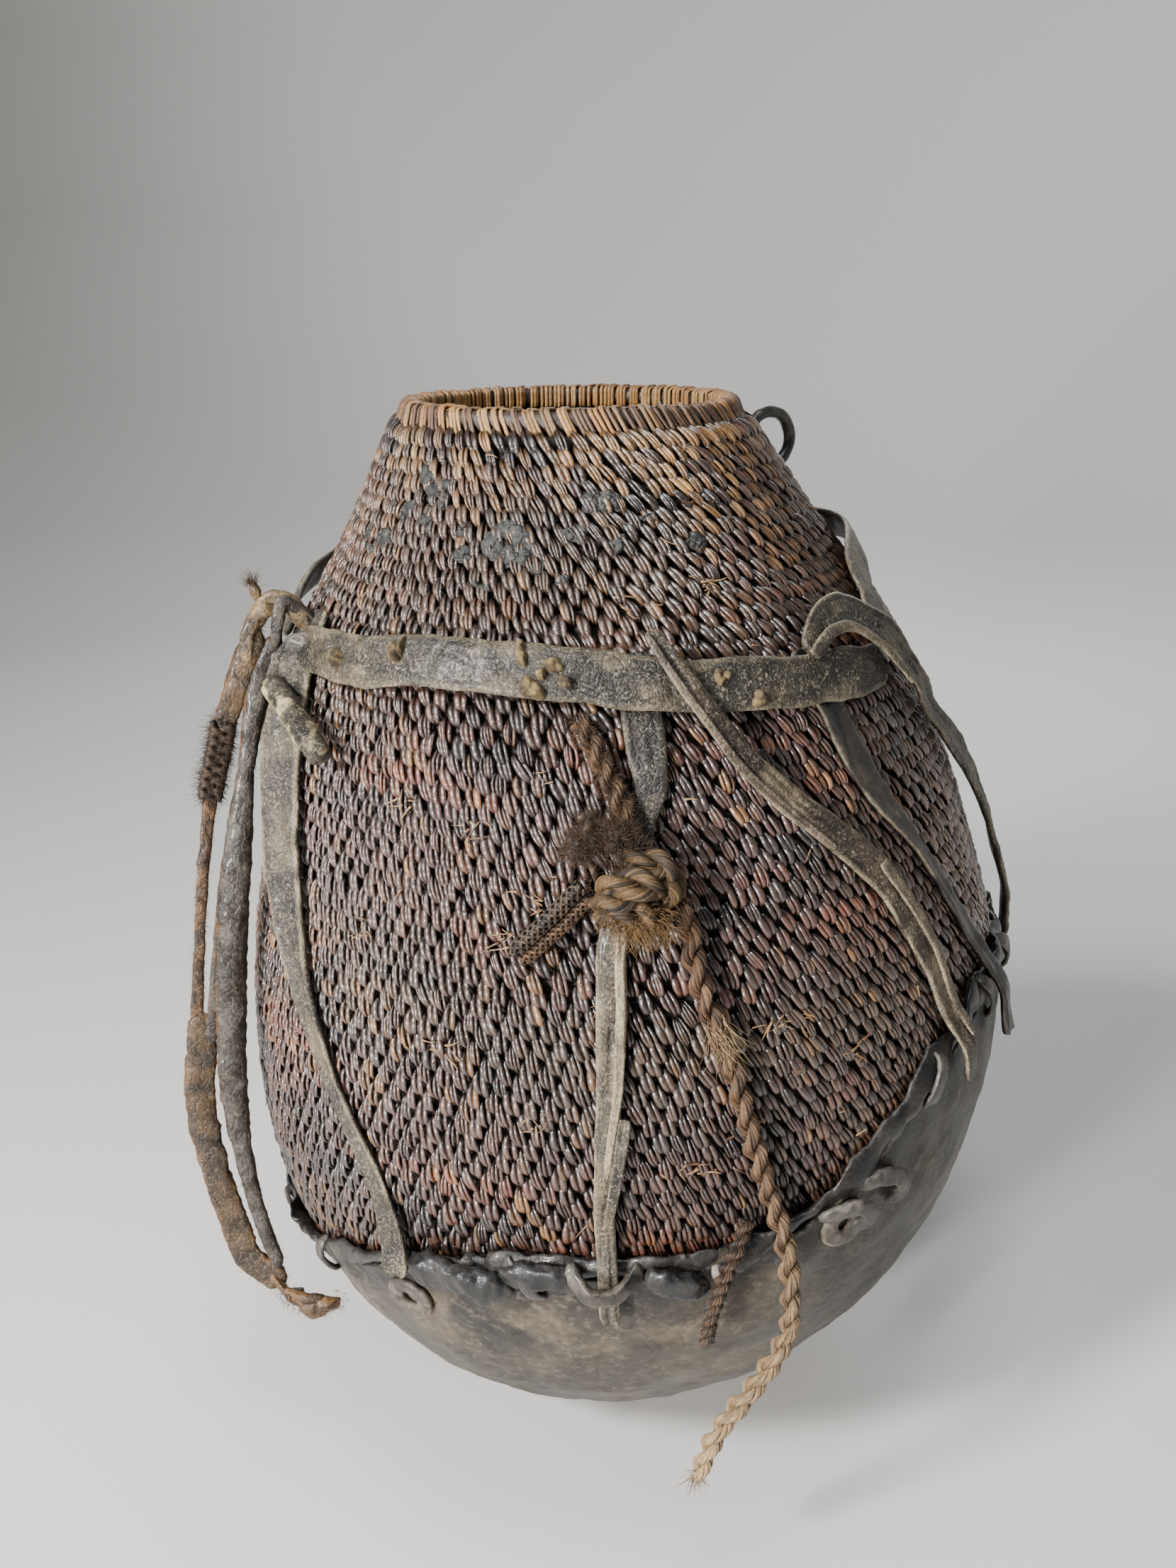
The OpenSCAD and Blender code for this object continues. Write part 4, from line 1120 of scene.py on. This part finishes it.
def make_pitch():
    """Each patch is three lumps that run into each other"""
    draw = np.random.default_rng(33)
    shapes = []
    for k, (a, z, wide, high) in enumerate(PATCHES):
        for part in range(3):
            da, dz = draw.normal(0, wide * 0.22), draw.normal(0, high * 0.22)
            shapes.append(lump(a + np.degrees(da / wall_r(z)), z + dz, wide * draw.uniform(.45, .8),
                               high * draw.uniform(.45, .8), -0.6, 1.5, 300 + 5 * k + part, PITCH))
    piece("pitch_crust", shapes, pitch_finish, nodes=["pitch_patches"])


make_left_loop()
make_lacing()
make_front_lacing()
make_eyelets()
make_dabs()
make_pitch()

# ---------------------------------------------------------------- hair, knot and braid

COMBED = two_tone(176, 140, 88, 104, 74, 42)


def make_hair_cord():
    draw = np.random.default_rng(41)
    route = curve(on_wall([(-3.4, 260, 2.6), (-1.4, 253.5, 3.2), (0.4, 246, 3.6), (1.8, 239, 4.8),
                           (2.2, 231, 6.6)]), 0.4)
    tones = two_tone(108, 80, 52, 42, 29, 19)
    shapes = ply_rope(route, 2.6, 12, draw, tones)
    shapes.append(fuzz(route, 1.9, 1900, 2.2, 0.075, draw, tones))
    piece("hair_cord_strands", shapes, hair_finish, nodes=["hair_cord"])


def make_hair_tuft():
    """Curls round four lumps above the knot"""
    draw = np.random.default_rng(42)
    hearts = [at(-4.6, 231, 6.5), at(-3.0, 235, 7), at(0.4, 233.5, 8), at(2.4, 230, 8.5)]
    sizes = [(3.4, 3.2, 3.4), (3.4, 3.2, 3.4), (2.9, 2.8, 2.9), (2.6, 2.6, 2.6)]
    shapes = [blob(heart, size, 5 + k, (HAIR_BROWN, HAIR_DARK))
              for k, (heart, size) in enumerate(zip(hearts, sizes))]
    spots = np.repeat(np.array(hearts), 700, axis=0)
    heads = unit(draw.normal(size=spots.shape))
    spots = spots + heads * draw.uniform(2.2, 3.4, (len(spots), 1))
    heads = unit(heads + draw.normal(size=heads.shape) * 0.9)
    shapes.append(stray_fibres(spots, heads, 3.0, 0.1, draw, (srgb(90, 66, 44), HAIR_DARK), 0.8))
    piece("hair_tuft_curls", shapes, hair_finish, nodes=["hair_tuft"])


# The knot's turns: points across, up the wall and out from it
KNOT_TURNS = [[(-8, -3, -1), (-7, 1, 3), (-2, 3.5, 5.5), (4, 3, 5.5), (8.5, 0.5, 3), (9, -3, -1)],
              [(-7.5, -5, -2), (-6.5, -1.5, 3.5), (-1.5, -0.5, 6.5), (3, 1.5, 6.0), (6.5, 5, 3), (6, 8, -1)],
              [(-1, 7.5, -1), (3, 8.5, 2.5), (7.5, 6.5, 3.5), (9.8, 2.5, 1.5), (9.5, -3, -1), (8, -6, -3)],
              [(-6, -6, -3), (-6.5, -5, 1.5), (-3, -4, 4), (1, -4.5, 4.5), (4, -6.5, 3), (6, -9, 0)]]


def make_knot():
    """The rope's stopper knot: its turns round each other and the combed-out end below them"""
    draw = np.random.default_rng(43)
    centre = at(1.6, 221, 9.5)
    up = out(1.6, 221)
    side = unit(np.cross((0, 0, 1), up))
    rise = np.cross(up, side)
    frame_of_knot = np.array([side, rise, up])
    tones = two_tone(112, 86, 52, 34, 24, 15)
    shapes = [blob(centre - up, (7.5, 4.5, 6.5), 9, (HAIR_DARK, srgb(90, 64, 44)), up=rise)]
    for k, turn in enumerate(KNOT_TURNS):
        route = curve(centre + np.array(turn, float) @ frame_of_knot, 0.5)
        shapes += ply_rope(route, 3.1, 15, draw, tones, 12, phase=1.3 * k)
    foot = centre + np.array([1.5, -6.5, 1.5]) @ frame_of_knot
    shapes.append(blob(foot, (5.6, 3.6, 4.6), 10, two_tone(120, 88, 58, 70, 48, 34), up=rise))
    count = 520
    spread = draw.normal(size=(count, 1)) * 3.2 * side + draw.normal(size=(count, 1)) * 2.2 * rise
    spots = foot + spread + up * draw.uniform(1.2, 3.4, (count, 1))
    sideways = side * draw.uniform(-0.3, 1.0, (count, 1))
    heads = unit(sideways + rise * draw.uniform(-1.2, 0.2, (count, 1)) + up * 0.25)
    shapes.append(stray_fibres(spots, heads, 4.6, 0.13, draw, COMBED, 0.7))
    loose = centre + (draw.normal(size=(count, 3)) * (4.8, 4.2, 2) + (0, 0, 3)) @ frame_of_knot
    shapes.append(stray_fibres(loose, unit(draw.normal(size=loose.shape)), 3.4, 0.09, draw, tones, 0.8))
    piece("rope_knot_turns", shapes, rope_finish, nodes=["rope_knot"])


def braid(route, radius, pitch, draw, tones, count=5, half=0.42):
    """Strands that wind both ways round a route and pass over and under each other"""
    s = run_along(route)
    facing = (0.2, -1.0, 0.1)
    side, rise = across(route, facing)
    shapes = []
    for way in (-1, 1):
        for k in range(count):
            start = 2 * np.pi * (k + (0.5 if way > 0 else 0)) / count
            turn = start + way * 2 * np.pi * s / pitch
            over = radius + way * 0.56 * half * np.cos(count * 2 * np.pi * s / pitch)
            spot = off_path(route, side, rise, turn, over)
            tone = mix(tones[0], tones[1], draw.uniform(0, 1))
            shapes.append(shape(tubes(spot, half, 0.75 * half, spot - route), tone))
    # A core tube at 0.6 of the dark tone fills the braid's middle: painted shade seen between the strands.
    shapes.append(shape(tubes(route, 0.85 * radius, 0.85 * radius, facing, 12), tones[1] * 0.6))
    return shapes


def make_braid():
    draw = np.random.default_rng(44)
    dull = two_tone(84, 66, 50, 34, 27, 23)
    warm = two_tone(118, 86, 56, 56, 40, 28)
    upper = curve(on_wall([(-4.6, 222, 6.4), (-8.6, 214.5, 6.4), (-12.6, 207, 6.0), (-13.6, 205, 5.2)]), 0.35)
    lower = curve(on_wall([(-3.8, 219, 4.6), (-7.6, 211.8, 4.2), (-11.4, 205, 4.2), (-13.0, 203, 4.6)]), 0.35)
    shapes = braid(upper, 1.7, 10, draw, dull) + braid(lower, 1.5, 9, draw, warm)
    shapes.append(fuzz(upper, 1.8, 120, 1.3, 0.06, draw, dull))
    shapes.append(fuzz(lower, 1.6, 160, 1.3, 0.06, draw, warm))
    piece("braided_loop_strands", shapes, hair_finish, body="braided_loop", nodes=["braided_loop"])


make_hair_cord()
make_hair_tuft()
make_knot()
make_braid()

# ---------------------------------------------------------------- toggle, carrying strap and neck ring


def make_toggle():
    """A peg of rolled hide with a seam and a pale crust"""
    first, last = at(-63, 254.5, 9.8), at(-43.5, 243.5, 10.6)
    route = curve([first, first * 0.67 + last * 0.33 + (0, 0, 0.3), first * 0.33 + last * 0.67, last], 0.4)
    s = run_along(route)
    side, rise = across(route, (-0.5, -0.5, 0.7))
    angle = round_steps(40)
    end = np.clip(np.minimum(s, s[-1] - s) / 1.4, 0.05, 1) ** 0.4
    grid = np.stack(np.broadcast_arrays(s[:, None], 3.6 * np.cos(angle), 3.6 * np.sin(angle)), -1)
    seam = 1 - 0.16 * np.exp(-((angle - 2.2) / 0.16) ** 2)
    crust = clip01(1.6 * fractal(grid, 5, 52, 4) - 0.1)
    radius = end[:, None] * seam[None] * (3.45 + 0.2 * fractal(grid, 3, 53) + 0.3 * crust)
    rings = rings_round(route, side, rise, radius * np.cos(angle), radius * np.sin(angle))
    tint = mix(patchy(two_tone(74, 68, 58, 32, 30, 27), grid, 4, 54), srgb(196, 180, 140), crust)
    piece("toggle_leather", [shape(rings, tint)], leather_finish, body="toggle",
          nodes=["toggle"])


CARRY_IN = [(-91, -43, 271), (-97, -44, 260), (-102, -47, 238), (-106, -49.5, 216), (-110, -53, 190),
            (-113, -56, 160), (-114.5, -59, 130), (-113, -61.5, 106), (-109.5, -64, 86), (-104, -67, 68)]
CARRY_OUT = [(-97, -44, 273), (-108, -46, 246), (-115, -48, 220), (-119, -52, 196), (-123.5, -56, 158),
             (-125, -60, 126), (-122.5, -62, 104), (-118.5, -64, 86), (-114, -66, 72), (-103, -67.5, 62)]
CARRY_TUBE = two_tone(76, 71, 64, 40, 33, 25)
CARRY_GOLD = two_tone(108, 76, 42, 46, 32, 20)
CARRY_HIDE = two_tone(92, 70, 44, 44, 33, 22)
CARRY_STRAW = two_tone(132, 106, 70, 58, 46, 32)
CARRY_DARK = two_tone(78, 69, 60, 38, 34, 31)
CARRY_WARM = two_tone(124, 90, 54, 52, 37, 24)
CARRY_EDGE = srgb(120, 78, 38)
CARRY_FACING = (0.25, -1, 0)


def carry_piece(name, node, shapes, finish=worn_finish):
    piece(name, shapes, finish, body="carry_strap", nodes=[node])


def make_carry_tube(draw):
    tube = band_of(CARRY_IN, [5, 6.6, 4.8, 8, 9.6, 9.4, 9, 8.6, 5.8, 4.8, 4.2],
                   [4, 4.8, 3.8, 5.4, 6.4, 6.4, 6, 5, 4, 3.6, 3], CARRY_FACING, 401, CARRY_TUBE, crumple=0.12,
                   wear=0.8, squareness=0.85, corners=32, edge=CARRY_EDGE)
    hairs = fuzz(curve(CARRY_IN[2:], 1.0), 2.6, 900, 1.6, 0.06, draw, CARRY_GOLD, (0.2, 0, -0.8), 0.3)
    carry_piece("carry_strap_tube", "carry_strap_inner", [tube, hairs])


def make_carry_outer(draw):
    """A strap that thins to two hairy strands and widens again"""
    upper = curve(CARRY_OUT[:3], 1.0)
    strand = curve([(-112.5, -47, 232)] + CARRY_OUT[2:5] + [(-124.5, -58, 144)], 1.0)
    second = [(-112, -51.5, 200), (-114.5, -53, 184), (-117.5, -55.5, 164), (-120, -58, 146)]
    broad = [(-122, -56.5, 156)] + CARRY_OUT[5:]
    facing, edge = CARRY_FACING, CARRY_EDGE
    shapes = [
        band_of(upper[::6], [7.4, 7, 6.4, 5.4], [4.4, 4, 3.6], facing, 403, CARRY_HIDE, crumple=0.2, wear=0.9,
                corners=28, edge=edge),
        band_of(strand[::8], [4.6, 3.6, 3.2, 3.4, 4], [2.8, 2.4, 2.4], facing, 404, CARRY_GOLD, wear=0.7,
                edge=edge),
        band_of(second, [2.6, 3.4, 3.6, 4], [2.2, 2.4, 2.4], facing, 405, CARRY_TUBE, crumple=0.25,
                edge=edge),
        band_of(broad, [8, 9.2, 9.2, 8.6, 8.4, 9, 8], [3.2, 3.4, 3.2, 3], facing, 406, CARRY_HIDE,
                crumple=0.15, wear=0.9, corners=32, edge=edge),
        fuzz(strand, 1.4, 1300, 2.0, 0.07, draw, CARRY_GOLD, (0, 0, -1.2), 0.35),
        fuzz(curve(broad, 1.0), 3.0, 900, 1.8, 0.07, draw, CARRY_GOLD, (0, 0, -1.2), 0.35)]
    carry_piece("carry_strap_hairy", "carry_strap_outer", shapes)


# Where the straps bend over at the top: points, width, thickness, colour
CARRY_BENDS = [([(-99, -44, 266), (-97, -44.5, 275), (-92, -44.5, 281.5), (-87, -44, 280.5), (-84, -43, 275),
                 (-82, -41.5, 269)], 5, 3, CARRY_STRAW),
               ([(-101, -45, 262), (-99, -46, 272), (-95, -46, 278), (-90, -46, 279)], 4.2, 3, CARRY_STRAW),
               ([(-92, -45.5, 268), (-90, -46.5, 276), (-88, -46, 281), (-84, -44, 278), (-80.5, -42, 272)],
                3.4, 2.6, CARRY_DARK),
               ([(-96, -43, 280), (-96.5, -43.5, 284), (-97, -44, 287)], 2.6, 2, CARRY_STRAW)]
CARRY_FOOT = [(-104, -68.5, 60), (-98, -70, 57), (-92, -71, 56), (-87, -72, 58), (-84.5, -72, 60)]
CARRY_FOOT_FOLD = [(-108, -66.5, 66), (-102, -69.5, 61), (-95, -72, 60), (-89, -72, 61)]


def make_carry_ends(draw):
    """The bend at the top with a frayed tip, the hair binding, and the gathered foot"""
    shapes = [band_of(path, width, thick, (0, -1, 0), 410 + k, tones, crumple=0.4)
              for k, (path, width, thick, tones) in enumerate(CARRY_BENDS)]
    spots = np.array([(-97, -44, 285.5)]) + draw.normal(size=(110, 3)) * 0.7
    heads = unit(draw.normal(size=spots.shape) * 0.45 + (-0.1, 0, 0.9))
    shapes.append(stray_fibres(spots, heads, 3.6, 0.09, draw, CARRY_STRAW))
    knot_path = curve([(-99, -44, 268), (-95, -45, 277), (-88, -44.5, 280)], 0.8)
    shapes.append(fuzz(knot_path, 1.8, 260, 1.8, 0.07, draw, CARRY_STRAW))
    carry_piece("carry_strap_bend", "carry_strap_knot", shapes)

    wrap = curve([(-108.5, -46.3, 246), (-110, -46.5, 240), (-112, -47.4, 233), (-114.5, -48, 224)], 0.4)
    tones = two_tone(72, 52, 34, 28, 20, 14)
    shapes = braid(wrap, 3.1, 13, draw, tones, count=4, half=1.1)
    shapes.append(fuzz(wrap, 3.4, 2200, 2.6, 0.085, draw, tones, (-0.2, 0, -0.6)))
    carry_piece("hair_wrap", "hair_binding", shapes, hair_finish)

    shapes = [band_of(CARRY_FOOT, [6, 8.4, 8, 7, 4.5], [3.5, 5, 5, 4, 2.4], (0, -0.8, -0.6), 421, CARRY_WARM,
                      crumple=0.7, rough=1),
              band_of(CARRY_FOOT_FOLD, [4, 5, 5, 3.5], [2.4, 3, 3, 2.2], (0, -0.9, -0.3), 422, CARRY_WARM,
                      crumple=0.6),
              fuzz(curve(CARRY_FOOT, 0.8), 2.4, 420, 2.0, 0.07, draw, CARRY_WARM, (0, -0.2, -0.8))]
    carry_piece("carry_strap_gathered_foot", "carry_strap_foot", shapes)


def torus_in(centre, first, second, radius, wire, seed, tones):
    """A lumpy leather ring; first and second span its plane"""
    around = round_steps(120)[:, None]
    angle = round_steps(16)
    spoke = np.cos(around) * first + np.sin(around) * second
    axis = np.broadcast_to(np.cross(first, second), spoke.shape)
    heart = centre + radius * spoke
    ring = wire * np.ones((len(around), len(angle)))
    grid = rings_round(heart, spoke, axis, ring * np.cos(angle), ring * np.sin(angle))
    swell = ring * (1 + 0.12 * fractal(grid, 4, seed))
    rings = rings_round(heart, spoke, axis, swell * np.cos(angle), swell * np.sin(angle))
    return shape(rings, patchy(tones, grid, 3, seed + 1), closed=True)


def make_ring():
    """The ring at the neck, its keeper and the tab under them"""
    a = 123
    z = 315
    keeper_out = 6.8  # the keeper's middle above the wall
    ring_r = 9
    turn = math.radians(a)
    outward = np.array([math.sin(turn), -math.cos(turn), 0])
    along = np.array([math.cos(turn), math.sin(turn), 0])
    rise = np.array([0, 0, 1.0])
    keeper_at = np.array([float(lean(z)), 0, z]) + (float(wall_r(z)) + keeper_out) * outward
    dark = two_tone(62, 58, 54, 30, 28, 27)
    ring = torus_in(keeper_at + ring_r * outward, outward, rise, ring_r, 1.95, 501, dark)
    piece("neck_ring_leather", [ring], lace_finish, body="neck_ring", nodes=["neck_ring"])
    keeper = torus_in(keeper_at, outward, along, 4.3, 1.1, 503, dark)
    strap_piece("ring_keeper_leather", "ring_keeper", [keeper], lace_finish)
    tab = [(a, z - 3.5, 9, skin - 0.3), (a, z + 2, 9, skin - 0.3), (a, z + 8, 9, skin - 0.3)]
    tab_strap = strap(tab, 505, 1.4, tones=dark, curl=0.1, sway=0.1)
    strap_piece("neck_tab_leather", "neck_tab", [tab_strap])


make_toggle()
carry_draw = np.random.default_rng(52)
make_carry_tube(carry_draw)
make_carry_outer(carry_draw)
make_carry_ends(carry_draw)
make_ring()

# ---------------------------------------------------------------- floor, lights and finish

# The floor's profile from the middle outward, in metres: reach, rise
FLOOR = [(0.01, 0), (0.4, 0), (0.8, 0), (1.2, 0), (1.6, 0.06), (2.0, 0.22), (2.4, 0.5), (2.7, 0.85),
         (2.9, 1.3), (3.0, 1.9), (3.0, 2.6)]


def make_floor():
    """A pale floor that curves up far away into a backdrop on every side"""
    around = np.radians(np.arange(0, 360, 5))
    corners = len(around)
    points = [(r * math.cos(turn), r * math.sin(turn), rise) for r, rise in FLOOR for turn in around]
    faces = [tuple(range(corners))]
    for i in range(len(FLOOR) - 1):
        for j in range(corners):
            k = (j + 1) % corners
            faces.append((i * corners + j, (i + 1) * corners + j, (i + 1) * corners + k, i * corners + k))
    data = bpy.data.meshes.new("floor")
    data.from_pydata(points, [], faces)
    data.shade_smooth()
    floor = bpy.data.objects.new("floor", data)
    bpy.context.scene.collection.objects.link(floor)
    material = bpy.data.materials.new("pale_floor")
    material.use_nodes = True
    shader = material.node_tree.nodes["Principled BSDF"]
    shader.inputs["Base Color"].default_value = (0.60, 0.59, 0.57, 1)
    shader.inputs["Roughness"].default_value = 0.85
    data.materials.append(material)


def make_light(name, kind, place, power, colour=(1, 1, 1)):
    """A light that shines from its place at the middle of the vessel"""
    data = bpy.data.lights.new(name, kind)
    data.energy = power
    data.color = colour
    light = bpy.data.objects.new(name, data)
    bpy.context.scene.collection.objects.link(light)
    light.location = place
    target = Vector((0, 0, 0 if kind == "SUN" else 0.17))
    light.rotation_euler = (target - Vector(place)).to_track_quat("-Z", "Y").to_euler()
    return data


make_floor()
make_light("window", "SUN", (-0.8, -0.5, 0.8), 2.3).angle = math.radians(10)
make_light("key", "AREA", (-0.6, -0.55, 0.7), 14, (1.0, 0.98, 0.95)).size = 0.14
make_light("low", "AREA", (-0.45, -0.7, 0.26), 13, (1.0, 0.97, 0.96)).size = 0.08
make_light("top", "AREA", (0.0, -0.3, 1.2), 5, (0.92, 0.97, 1.0)).size = 0.3
make_light("back", "AREA", (0.3, 1.0, 0.8), 5, (0.95, 0.97, 1.0)).size = 0.6
world = bpy.data.worlds.new("studio")
world.use_nodes = True
world.node_tree.nodes["Background"].inputs["Color"].default_value = (0.75, 0.78, 0.82, 1)
world.node_tree.nodes["Background"].inputs["Strength"].default_value = 0.18
bpy.context.scene.world = world
